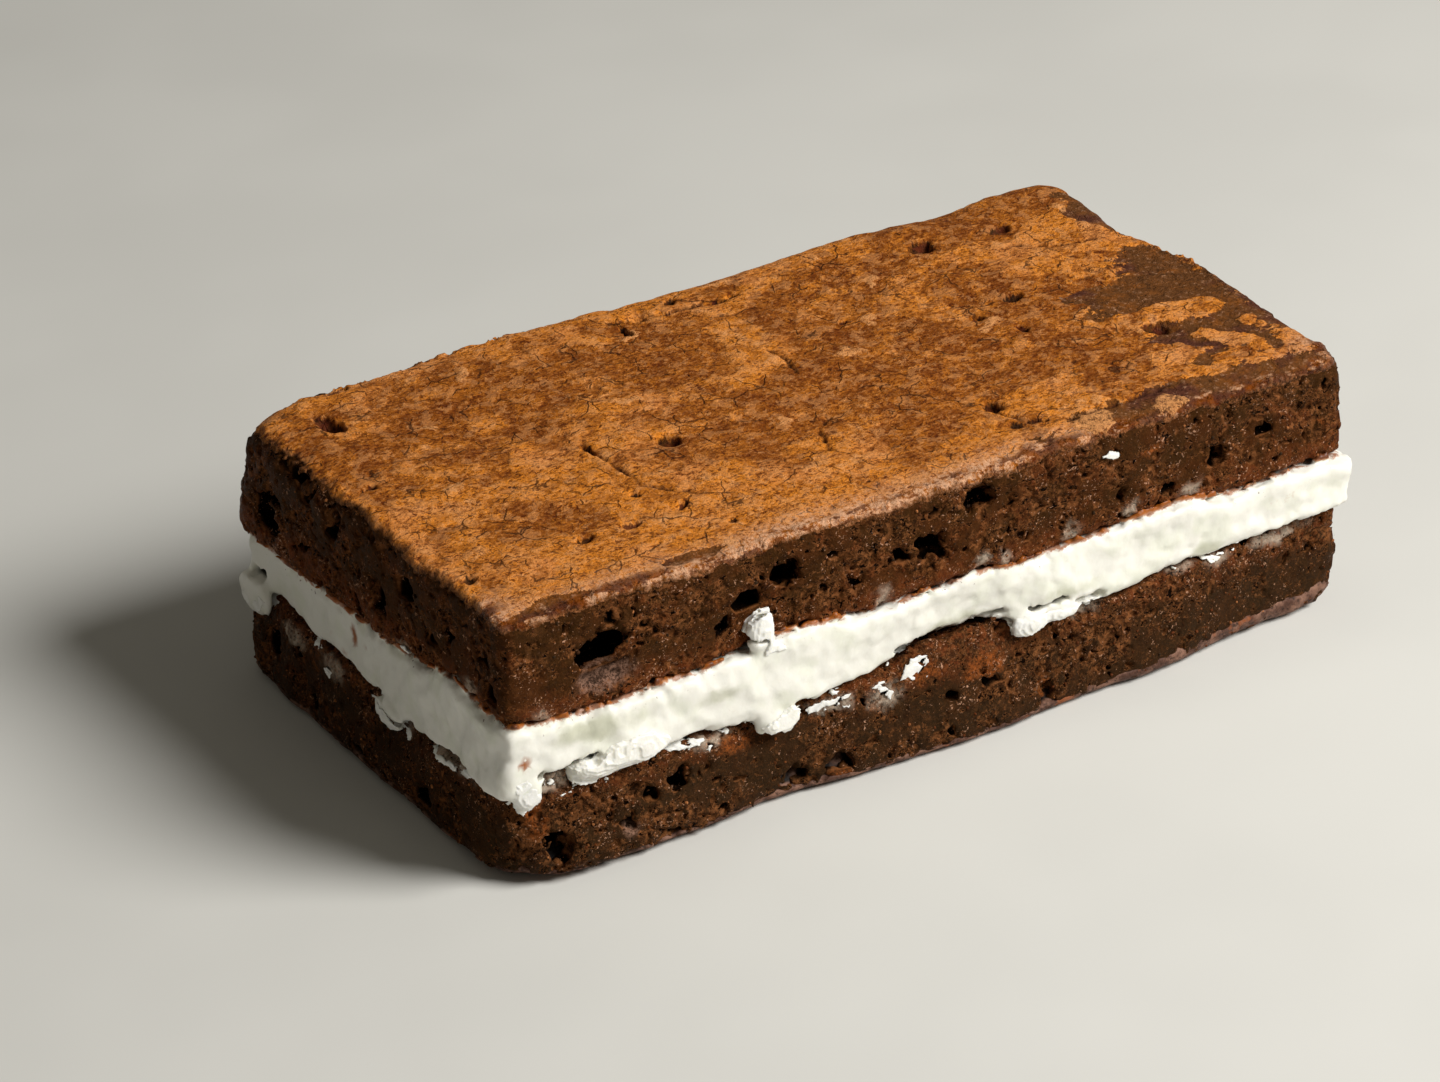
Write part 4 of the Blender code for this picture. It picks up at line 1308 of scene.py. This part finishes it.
def crumb_material(name, seed, cream_level, cream_side, smooth_tone, red_tone):
    """Dark fudgy crumb: smooth olive brown patches, redder crumb, pores with painted shadow in them and
    painted glints as light specks.
    """
    material, wiring, place = new_material(name)
    grain = place + tuple(shift * seed for shift in NOISE_SHIFT)
    patches = crumbly_patches(wiring, grain)
    height = wiring.parts(place)[2]
    mottle = wiring.noise(grain, 3.4, 5.0, 0.62, 51).step(0.4, 0.62)
    from_cream = (height - cream_level) * cream_side
    by_cream = from_cream.step(4.5, 0.5)
    red = mottle * patches.step(0.0, 1.0, 0.3, 0.85)
    red = wiring.math("MAXIMUM", red, by_cream * mottle.step(0.0, 0.7, 0.5, 1.0))
    colour = red.blend(smooth_tone, red_tone)
    # Painted shade and painted light: the same noise raises the relief, darkens its low parts and
    # lightens its high parts.
    shade = wiring.noise(grain, 1.5, 6.0, 0.75, 56)
    colour = shade.step(0.46, 0.34, 0.0, 0.6).blend(colour, CRUMB_SHADE)
    colour = (shade.step(0.54, 0.7) * 0.16).blend(colour, CRUMB_TAN_AND_HIGHLIGHT)
    warm = by_cream * wiring.noise(grain, 1.2, 5.0, 0.7, 59).step(0.46, 0.58)
    colour = (warm * 0.5).blend(colour, CRUMB_WARM)
    open_crumb = wiring.math("MAXIMUM", patches.step(0.0, 1.0, 0.22, 1.0), by_cream)
    # Fine grains, lighter where the relief is high and darker where it is low: partly the crumb's own
    # tan and dark grains, partly painted light and shade.
    sand = wiring.noise(grain, 0.30, 4.0, 0.8, 52)
    light = sand.step(0.51, 0.6) * open_crumb
    colour = (light * 0.3).blend(colour, CRUMB_TAN_AND_HIGHLIGHT)
    dark = sand.step(0.49, 0.4) * open_crumb
    colour = (dark * 0.5).blend(colour, CRUMB_SHADE)
    # Single grains, some light and some in shadow.
    cell = wiring.cells(wiring.wobble(grain, 0.5, 0.4, detail=2.0, seed=60), 0.46, 61)
    draw = wiring.parts(cell["Color"])
    light_grain = draw[0].step(0.8, 0.88) * shade.step(0.4, 0.55)
    dark_grain = draw[1].step(0.24, 0.16)
    colour = (light_grain * patches * 0.5).blend(colour, CRUMB_TAN_AND_HIGHLIGHT)
    colour = (dark_grain * patches * 0.7).blend(colour, CRUMB_SHADE)
    # Thin light edges of single crumbs, broken up, only where the painted shade is light: partly tan
    # crumb edges, partly painted highlight.
    vein = wiring.math("ABSOLUTE", wiring.noise(grain, 1.3, 4.0, 0.7, 57) - 0.5)
    vein = vein.step(0.022, 0.004) * shade.step(0.44, 0.56)
    colour = (vein * open_crumb * 0.5).blend(colour, CRUMB_TAN_AND_HIGHLIGHT)
    # The smallest holes, too small for the mesh: painted shadow in them and a painted highlight on
    # their rims.
    pinhole = pinholes(wiring, grain)
    rim = pinhole.step(0.0, 0.02) * pinhole.step(0.06, 0.03)
    colour = (rim * 0.5).blend(colour, CRUMB_TAN_AND_HIGHLIGHT)
    colour = pinhole.step(0.02, -0.005, 0.0, 0.97).blend(colour, SHADOW_AND_GRIT_DARK)
    # Painted shadow deep in the pores, and a painted highlight round their rims.
    depth = attribute(wiring, "depth")
    lip = depth.step(0.2, 0.35) * depth.step(0.7, 0.45)
    colour = (lip * 0.4).blend(colour, CRUMB_TAN_AND_HIGHLIGHT)
    colour = depth.step(0.45, 0.95).blend(colour, SHADOW_AND_GRIT_DARK)
    # Painted light: the up-facing floors of the named holes are coloured pale, as where the light
    # reaches.
    inside = attribute(wiring, "floor") * sand.step(0.42, 0.56, 0.2, 1.0)
    colour = inside.blend(colour, LIT_PORE_FLOOR)
    stain = attribute(wiring, "stain") * sand.step(0.44, 0.54, 0.15, 0.8)
    colour = (stain * shade.step(0.4, 0.52)).blend(colour, RUST)
    film = attribute(wiring, "smear") * shade.step(0.38, 0.56, 0.15, 0.75)
    colour = film.blend(colour, CREAM_FILM)
    # Painted glints: small painted highlights, a few more of them on the redder crumb.
    speck = wiring.noise(grain, 0.34, 3.0, 0.7, 53)
    speck += (wiring.noise(grain, 2.4, 2.0, 0.5, 55) - 0.5) * 0.35
    glint = (speck + red * 0.05).step(0.655, 0.7)
    colour = (glint * 0.85).blend(colour, CRUMB_GLINT)
    relief = sand * 0.16 + glint * 0.08
    relief += shade * 0.28
    relief += draw[2] * open_crumb * 0.12
    relief += vein * 0.05
    relief -= pinhole.step(0.04, -0.03, 0.0, 0.35)
    roughness = sand.step(0.35, 0.65, 0.3, 0.6)
    finish_material(wiring, colour, roughness, relief, Specular_IOR_Level=0.03)
    return material


def grain_material():
    """Loose crumbs, from dark to tan, each of one colour."""
    material, wiring, place = new_material("loose crumb")
    tone = attribute(wiring, "tone")
    colour = tone.step(0.1, 0.75).blend(FUDGE_LOW, FUDGE_RED)
    colour = tone.step(0.72, 0.96).blend(colour, CRUMB_TAN_AND_HIGHLIGHT)
    relief = wiring.noise(place, 0.15, 2.0, 0.6, 93) * 0.05
    finish_material(wiring, colour, 0.6, relief, Specular_IOR_Level=0.08)
    return material


SKIN_LIGHT = paint(232, 139, 40)
SKIN_PALE = paint(240, 168, 104)
SKIN_PINK = paint(226, 146, 88)
SKIN_BROWN = paint(172, 96, 22)
SKIN_DEEP = paint(130, 64, 8)
SKIN_SPECK = paint(88, 30, 0)
# Pale pink, for painted highlights and painted sheen on the crust.
SKIN_HIGHLIGHT = paint(228, 176, 138)
CRUST_BARE = paint(106, 64, 28)
CRUST_PLUM = paint(92, 50, 34)
CRACK_DARK = paint(44, 14, 2)
PIT_RED = paint(86, 32, 16)


def crust_material():
    """Papery skin, light where it is thick and brown where it is thin, over dark bare crumb."""
    material, wiring, place = new_material("papery crust")
    flat = place * FLAT
    skin = skin_left(wiring, flat)
    light = light_skin(wiring, flat)
    speckle = wiring.noise(place, 0.62, 5.0, 0.85, 61)
    cloud = wiring.noise(place, 2.2, 5.0, 0.65, 62)
    clumps = wiring.noise(place, 3.4, 4.0, 0.6, 64)
    fibre = wiring.wobble(flat, 4.0, 2.0, seed=65)
    fibre = wiring.noise(fibre, 1.4, 4.0, 0.7, 66, stretch=(0.5, 1.5, 1.0))
    light_colour = cloud.step(0.52, 0.72).blend(SKIN_LIGHT, SKIN_PALE)
    tint = wiring.noise(place, 7.0, 3.0, 0.6, 74)
    light_colour = tint.step(0.48, 0.66, 0.0, 0.5).blend(light_colour, SKIN_PINK)
    light_colour = fibre.step(0.48, 0.36, 0.0, 0.4).blend(light_colour, SKIN_BROWN)
    brown_colour = cloud.step(0.44, 0.64, 0.0, 0.45).blend(SKIN_BROWN, SKIN_LIGHT)
    brown_colour = fibre.step(0.52, 0.4, 0.0, 0.45).blend(brown_colour, SKIN_DEEP)
    # Where one more thin layer is gone, with a sharp torn edge.
    layer = wiring.noise(wiring.wobble(flat, 3.0, 2.0, seed=67), 4.6, 6.0, 0.6, 68)
    brown_colour = layer.step(0.49, 0.475, 0.0, 0.6).blend(brown_colour, SKIN_DEEP)
    light_colour = layer.step(0.44, 0.425, 0.0, 0.5).blend(light_colour, SKIN_BROWN)
    light_colour = layer.step(0.56, 0.575, 0.0, 0.25).blend(light_colour, SKIN_PALE)
    across = wiring.parts(place)[0]
    right = across.step(-4.0, 14.0, 0.15, 1.0)
    torn = light.step(-0.06, 0.06) * right
    faded = light.step(-0.5, 0.4) * (1.0 - right)
    colour = (torn + faded).blend(brown_colour, light_colour)
    # Slanting streaks on the right half.
    slanted = wiring.turned(wiring.wobble(flat, 5.0, 3.0, seed=70), -52.0)
    streak = wiring.noise(slanted, 2.2, 5.0, 0.68, 71, stretch=(0.3, 1.3, 1.0))
    streaked = streak.step(0.54, 0.62) * right
    colour = (streaked * 0.45).blend(colour, SKIN_LIGHT)
    streaked = streak.step(0.46, 0.38) * right
    colour = (streaked * 0.55).blend(colour, SKIN_DEEP)
    # Fine dark and pale grit all over.
    grit = wiring.wobble(place, 0.8, 0.5, seed=75)
    grit = wiring.noise(grit, 0.42, 4.0, 0.7, 76, stretch=(0.7, 1.2, 1.0))
    grit -= light.step(0.4, -0.6, 0.0, 0.02)
    colour = grit.step(0.475, 0.405, 0.0, 0.75).blend(colour, SKIN_SPECK)
    colour = grit.step(0.55, 0.63, 0.0, 0.45).blend(colour, SKIN_PALE)
    low_speck = speckle + (clumps - 0.5) * 0.35
    colour = low_speck.step(0.45, 0.37, 0.0, 0.9).blend(colour, SKIN_SPECK)
    colour = speckle.step(0.53, 0.62, 0.0, 0.32).blend(colour, SKIN_PALE)
    # Small lifted and worn flakes with crisp edges, and hairline cracks between them.
    flake = wiring.noise(wiring.wobble(flat, 1.4, 1.0, detail=2.0, seed=85), 1.9, 4.0, 0.62, 86)
    colour = flake.step(0.545, 0.56, 0.0, 0.28).blend(colour, SKIN_PALE)
    colour = flake.step(0.445, 0.43, 0.0, 0.3).blend(colour, SKIN_DEEP)
    hair = wiring.wobble(flat, 2.0, 1.8, detail=3.0, seed=87)
    hair = wiring.cells(hair, 3.6, 88, "DISTANCE_TO_EDGE")["Distance"]
    hair = hair.step(0.032, 0.008) * clumps.step(0.5, 0.57)
    colour = (hair * 0.75).blend(colour, CRACK_DARK)
    bare = cloud.step(0.45, 0.7, 0.0, 0.4).blend(CRUST_BARE, SKIN_BROWN)
    bare = tint.step(0.52, 0.64).blend(bare, CRUST_PLUM)
    bare = speckle.step(0.48, 0.36, 0.0, 0.7).blend(bare, CRUMB_SHADE)
    # Painted glints on the bare crumb.
    bare = speckle.step(0.56, 0.66, 0.0, 0.5).blend(bare, SKIN_HIGHLIGHT)
    colour = skin.step(-0.02, 0.03).blend(bare, colour)
    # Painted highlight: speckled pale spots on the skin near the front edge, as its sheen.
    inward = attribute(wiring, "inward")
    edge_highlight = (inward + (cloud - 0.5) * 5.0).step(7.0, 2.5)
    edge_highlight *= wiring.parts(place)[1].step(-19.0, -22.0)
    edge_highlight *= skin.step(-0.02, 0.03)
    edge_highlight *= speckle.step(0.42, 0.56, 0.1, 0.7)
    colour = edge_highlight.blend(colour, SKIN_HIGHLIGHT)
    rolled = (inward + (clumps - 0.5) * 3.4).step(4.2, 2.6)
    rolled *= wiring.parts(place)[1].step(-20.0, -22.5)
    rolled_colour = cloud.step(0.44, 0.6).blend(CRUST_PLUM, SKIN_DEEP)
    rolled_colour = speckle.step(0.47, 0.38, 0.0, 0.8).blend(rolled_colour, CRUMB_SHADE)
    middle = across.step(-37.0, -28.0) * across.step(14.0, 6.0)
    # Painted sheen on the rolled front edge: pale highlight spots, more of them in the middle.
    sheen = wiring.noise(place, 1.5, 5.0, 0.7, 69, stretch=(0.45, 1.0, 1.0))
    sheen += middle * 0.1
    highlight_colour = speckle.step(0.4, 0.56).blend(SKIN_BROWN, SKIN_HIGHLIGHT)
    rolled_colour = sheen.step(0.53, 0.6).blend(rolled_colour, highlight_colour)
    colour = (rolled * 0.9).blend(colour, rolled_colour)
    pale = pale_flakes(wiring, flat) * speckle.step(0.4, 0.54, 0.1, 0.75)
    colour = pale.blend(colour, SKIN_PALE)
    # Pits: the named pits in dark crumb, and painted shade in the hollows that the crust closes in.
    pit = wiring.math("MAXIMUM", pit_share(wiring, flat), attribute(wiring, "pit") * 0.6)
    pit_colour = cloud.step(0.45, 0.6).blend(SHADOW_AND_GRIT_DARK, PIT_RED)
    colour = (pit * 0.9).blend(colour, pit_colour)
    colour = (attribute(wiring, "crack") * 0.85).blend(colour, CRACK_DARK)
    # Painted shadow where the crust lies deep in a hollow.
    colour = attribute(wiring, "depth").step(1.2, 1.6).blend(colour, SHADOW_AND_GRIT_DARK)
    # Single crumbs stand out where the skin ends.
    crumbly = inward.step(3.4, 1.6)
    lumps = wiring.noise(wiring.wobble(place, 0.7, 0.6, seed=79), 1.0, 4.0, 0.7, 80)
    colour = (crumbly * lumps.step(0.46, 0.38)).blend(colour, SKIN_SPECK)
    edge = attribute(wiring, "rim") * speckle.step(0.38, 0.5, 0.6, 1.0)
    colour = edge.blend(colour, speckle.step(0.45, 0.6).blend(FUDGE, CRUMB_TAN_AND_HIGHLIGHT))
    relief = speckle * 0.34
    relief += skin.step(-0.04, 0.04) * 0.12
    relief += light.step(-0.05, 0.05) * 0.07
    relief += layer.step(0.485, 0.5) * 0.04
    relief += fibre * 0.2
    relief += grit * 0.14
    relief += flake.step(0.54, 0.565, 0.0, 0.06)
    relief += flake.step(0.425, 0.45, 0.0, 0.06)
    relief -= hair * 0.12
    relief += crumbly * lumps * 1.1
    relief += wiring.noise(place, 0.2, 2.0, 0.6, 63) * 0.04
    roughness = speckle.step(0.35, 0.65, 0.46, 0.66)
    roughness -= rolled * 0.28
    finish_material(wiring, colour, roughness, relief, Specular_IOR_Level=0.11)
    return material


CREAM = paint(230, 228, 219)
CREAM_SHADE = paint(222, 222, 208)
CREAM_DIM = paint(190, 190, 168)
CREAM_THIN = paint(172, 104, 38)
CREAM_STAIN = paint(150, 80, 14)


def cream_material(name="cream"):
    """Soft white cream, a little see-through, stained where it touches the brownie above."""
    material, wiring, place = new_material(name)
    cloud = wiring.noise(place, 3.4, 3.0, 0.55, 71)
    colour = cloud.step(0.45, 0.7).blend(CREAM, CREAM_SHADE)
    # Painted shade on the parts of the cream that recede or lie under its bulges.
    dim = attribute(wiring, "shade") * cloud.step(0.3, 0.6, 0.35, 0.8)
    colour = dim.blend(colour, CREAM_DIM)
    ragged = wiring.noise(place, 0.8, 5.0, 0.75, 72)
    coat = attribute(wiring, "coat") + (0.5 - ragged) * 0.5
    colour = coat.step(0.08, 0.3, 0.0, 0.9).blend(colour, CREAM_THIN)
    colour = coat.step(0.25, 0.6, 0.0, 0.95).blend(colour, FUDGE_RED)
    brownie = attribute(wiring, "brownie")
    edge = (brownie - ragged * 1.3).step(0.0, -0.3)
    fringe = wiring.noise(place, 2.6, 3.0, 0.6, 77).step(0.42, 0.52)
    edge *= fringe
    stain = attribute(wiring, "stain") * ragged.step(0.36, 0.44)
    edge = wiring.math("MAXIMUM", edge * 0.85, stain)
    colour = edge.blend(colour, CREAM_STAIN)
    # Painted shadow: the cut inside of the gaps at the cream's foot is coloured near black.
    colour = (attribute(wiring, "gap") * 0.95).blend(colour, SHADOW_AND_GRIT_DARK)
    crumb = wiring.noise(place, 0.5, 2.0, 0.6, 78)
    crumb = crumb.step(0.7, 0.74) * brownie.step(2.5, 0.5)
    colour = crumb.blend(colour, FUDGE_RED)
    relief = (
        wiring.noise(place, 2.6, 3.0, 0.45, 73) * 0.14
        + wiring.noise(place, 0.4, 2.0, 0.5, 74) * 0.01
    )
    finish_material(
        wiring,
        colour,
        0.42,
        relief,
        Subsurface_Weight=0.25,
        Subsurface_Radius=(1.1, 1.0, 0.9),
        Subsurface_Scale=0.5 * MM,
        Specular_IOR_Level=0.3,
    )
    return material


SCRAP = paint(240, 238, 231)


def scrap_material():
    """Drier, whiter cream on its torn flakes."""
    material, wiring, place = new_material("torn cream")
    relief = wiring.noise(place, 0.9, 3.0, 0.55, 75) * 0.09
    tone = wiring.noise(place, 1.2, 3.0, 0.6, 76).step(0.4, 0.7).blend(SCRAP, CREAM)
    finish_material(
        wiring,
        tone,
        0.5,
        relief,
        Subsurface_Weight=0.25,
        Subsurface_Radius=(0.9, 0.8, 0.6),
        Subsurface_Scale=MM,
        Specular_IOR_Level=0.3,
    )
    return material


UNDERSIDE = paint(80, 52, 40)
UNDERSIDE_LIGHT = paint(134, 98, 80)


def underside_material():
    """The dark plum skin that the lower brownie lies on."""
    material, wiring, place = new_material("underside skin")
    cloud = wiring.noise(place, 2.0, 4.0, 0.65, 81)
    grit = wiring.noise(place, 0.5, 3.0, 0.7, 82)
    colour = cloud.step(0.42, 0.66).blend(UNDERSIDE, UNDERSIDE_LIGHT)
    colour = grit.step(0.47, 0.34, 0.0, 0.7).blend(colour, SHADOW_AND_GRIT_DARK)
    rust = wiring.noise(place, 3.0, 3.0, 0.6, 83).step(0.6, 0.68)
    colour = (rust * 0.6).blend(colour, RUST)
    # Painted shadow where the skin lies deep in a hollow.
    colour = attribute(wiring, "depth").step(0.5, 0.9).blend(colour, SHADOW_AND_GRIT_DARK)
    finish_material(wiring, colour, 0.6, grit * 0.2, Specular_IOR_Level=0.2)
    return material


# The room: camera, lights and floor.

FLOOR_TONES = (paint(208, 207, 202), paint(212, 211, 206))
FLOOR_REACH = 2.0
FLOOR_DROP = 0.02  # millimetres under the bar
ROOM_LIGHT = (1.0, 0.94, 0.80, 1.0)
ROOM_STRENGTH = 0.12
KEY_WAY = Vector((0.45, -0.57, 0.68))
KEY_DISTANCE = 0.7
KEY_SIZE = 0.34
KEY_POWER = 6.7
KEY_COLOUR = (1.0, 0.985, 0.955)


def set_camera():
    data = bpy.data.cameras.new("camera")
    data.lens = LENS
    data.sensor_width = SENSOR
    data.clip_start = 0.05
    data.clip_end = 20.0
    camera = add_object("camera", data)
    turned = Matrix((CAMERA_RIGHT, CAMERA_UP, CAMERA_BACK)).transposed()
    camera.matrix_world = Matrix.Translation((CAMERA_PLACE + BAR_SHIFT) * MM) @ turned.to_4x4()
    bpy.context.scene.camera = camera


def set_key_light():
    """One soft box that looks at the bar."""
    data = bpy.data.lights.new("key", "AREA")
    data.shape = "DISK"
    data.size = KEY_SIZE
    data.energy = KEY_POWER
    data.color = KEY_COLOUR
    light = add_object("key", data)
    way = KEY_WAY.normalized()
    light.location = way * KEY_DISTANCE
    light.rotation_mode = "QUATERNION"
    light.rotation_quaternion = way.to_track_quat("Z", "Y")


def set_room():
    bpy.context.scene.view_settings.view_transform = "Standard"
    world = bpy.data.worlds.new("room")
    bpy.context.scene.world = world
    world.use_nodes = True
    background = world.node_tree.nodes["Background"]
    background.inputs["Color"].default_value = ROOM_LIGHT
    background.inputs["Strength"].default_value = ROOM_STRENGTH
    set_key_light()
    far = FLOOR_REACH
    under = -FLOOR_DROP * MM
    mesh = bpy.data.meshes.new("floor")
    corners = [(-far, -far, under), (far, -far, under), (far, far, under), (-far, far, under)]
    mesh.from_pydata(corners, [], [(0, 1, 2, 3)])
    floor = add_object("floor", mesh)
    material, wiring, place = new_material("floor")
    tone = wiring.noise(place, 40.0, 2.0, 0.5, 91).step(0.3, 0.7)
    colour = tone.blend(FLOOR_TONES[0], FLOOR_TONES[1])
    finish_material(wiring, colour, 0.9, tone * 0.1, Specular_IOR_Level=0.2)
    mesh.materials.append(material)


# The bar.


def place_piece(piece, node=None):
    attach(piece, BODY)
    if node:
        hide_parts(node)


def main():
    set_camera()
    set_room()
    upper = soft_copy("upper_brownie")
    cream = soft_copy("cream_filling", CREAM_SOFT_VOXEL, CREAM_SOFT_ROUNDS)
    lower = soft_copy("lower_brownie")
    helpers = {
        "gaps": ellipsoids("gaps", cream, CREAM_GAPS, GAP_OUT),
        "cracks": crack_lines("cracks", CRACKS),
        "bar": joined("bar", (upper, cream, lower)),
    }
    for name, solid, spots in (
        ("upper_holes", upper, UPPER_HOLES),
        ("upper_floors", upper, UPPER_FLOORS),
        ("upper_stains", upper, UPPER_STAINS),
        ("upper_smears", upper, UPPER_SMEARS),
        ("lower_holes", lower, LOWER_HOLES),
        ("lower_floors", lower, LOWER_FLOORS),
        ("lower_stains", lower, LOWER_STAINS),
        ("lower_smears", lower, LOWER_SMEARS),
        ("cream_stains", cream, CREAM_STAINS),
        ("cream_shades", cream, CREAM_SHADES),
    ):
        helpers[name] = ellipsoids(name, solid, spots)
    crumbs = []
    for layer, slab, seed, cover, finish in (
        ("upper", upper, 1, "Top cover", (CREAM_TOP, 1.0, FUDGE, FUDGE_RED)),
        ("lower", lower, 2, "Bottom cover", (CREAM_FOOT, -1.0, FUDGE_LOW, FUDGE_LOW_RED)),
    ):
        sizes = {
            "Hollows": helpers[layer + "_holes"],
            "Stains": helpers[layer + "_stains"],
            "Smears": helpers[layer + "_smears"],
            "Lit floors": helpers[layer + "_floors"],
            cover: SLAB_COVER,
            "Seed": seed,
        }
        tree = crumb_tree(crumb_material(layer + " crumb", seed, *finish))
        crumbs.append(grow(slab, tree, layer + "_crumb", sizes))
    upper_crumb, lower_crumb = crumbs
    crust = grow(upper, crust_tree(crust_material()), "papery_crust", {"Cracks": helpers["cracks"]})
    underside = grow(lower, underside_tree(underside_material()), "underside_skin", {})
    sizes = {
        "Gaps": helpers["gaps"],
        "Stains": helpers["cream_stains"],
        "Shades": helpers["cream_shades"],
        "Brownie above": upper,
    }
    filling = grow(cream, cream_tree(cream_material()), "pressed_cream", sizes)
    torn_cream = scrap_material()
    trees = {face: flake_tree(torn_cream, face) for face in ("front", "left")}
    flakes = []
    for name, face, outlines, sizes in (
        ("foot_chunks", "front", FOOT_CHUNKS, {**SOFT_SIZES, "Thickness": 1.3}),
        ("cream_tongue", "front", TONGUE, {**SOFT_SIZES, "Thickness": 0.75}),
        ("foot_flakes", "front", FOOT_FLAKES, {}),
        ("right_flakes", "front", RIGHT_FLAKES, {**SOFT_SIZES, "Thickness": 0.7}),
        ("corner_scrap", "front", CORNER_SCRAP, {"Raggedness": 2.2, "Grain": 1.3, "Thickness": 0.45}),
        ("strewn_scraps", "front", SCRAP_BANDS, {"Thickness": 0.16, "Grain": 1.2, "Scatter": 1.1}),
        ("face_crumb", "front", FACE_CRUMB, {"Unevenness": 0.5}),
        ("left_flakes", "left", LEFT_FLAKES, {}),
    ):
        helpers[name] = outlines_object(name + "_outlines", face, outlines)
        sizes = {"Bar": helpers["bar"], **sizes}
        flakes.append(grow(helpers[name], trees[face], name, sizes))
    for piece in (upper_crumb, lower_crumb, crust, underside, filling):
        close_flat(piece)
        thin_out(piece)
        close_flat(piece)
    loose = grain_tree(grain_material())
    upper_grains = grow(upper_crumb, loose, "upper_grains", {"Seed": 1})
    lower_grains = grow(lower_crumb, loose, "lower_grains", {"Seed": 2})
    for helper in (upper, cream, lower, *helpers.values()):
        bpy.data.objects.remove(helper)
    for slot, pieces in (
        ("upper_brownie", (upper_crumb, crust, upper_grains)),
        ("cream_filling", (filling, *flakes)),
        ("lower_brownie", (lower_crumb, underside, lower_grains)),
    ):
        for piece in pieces:
            place_piece(piece, slot if piece is pieces[0] else None)


main()
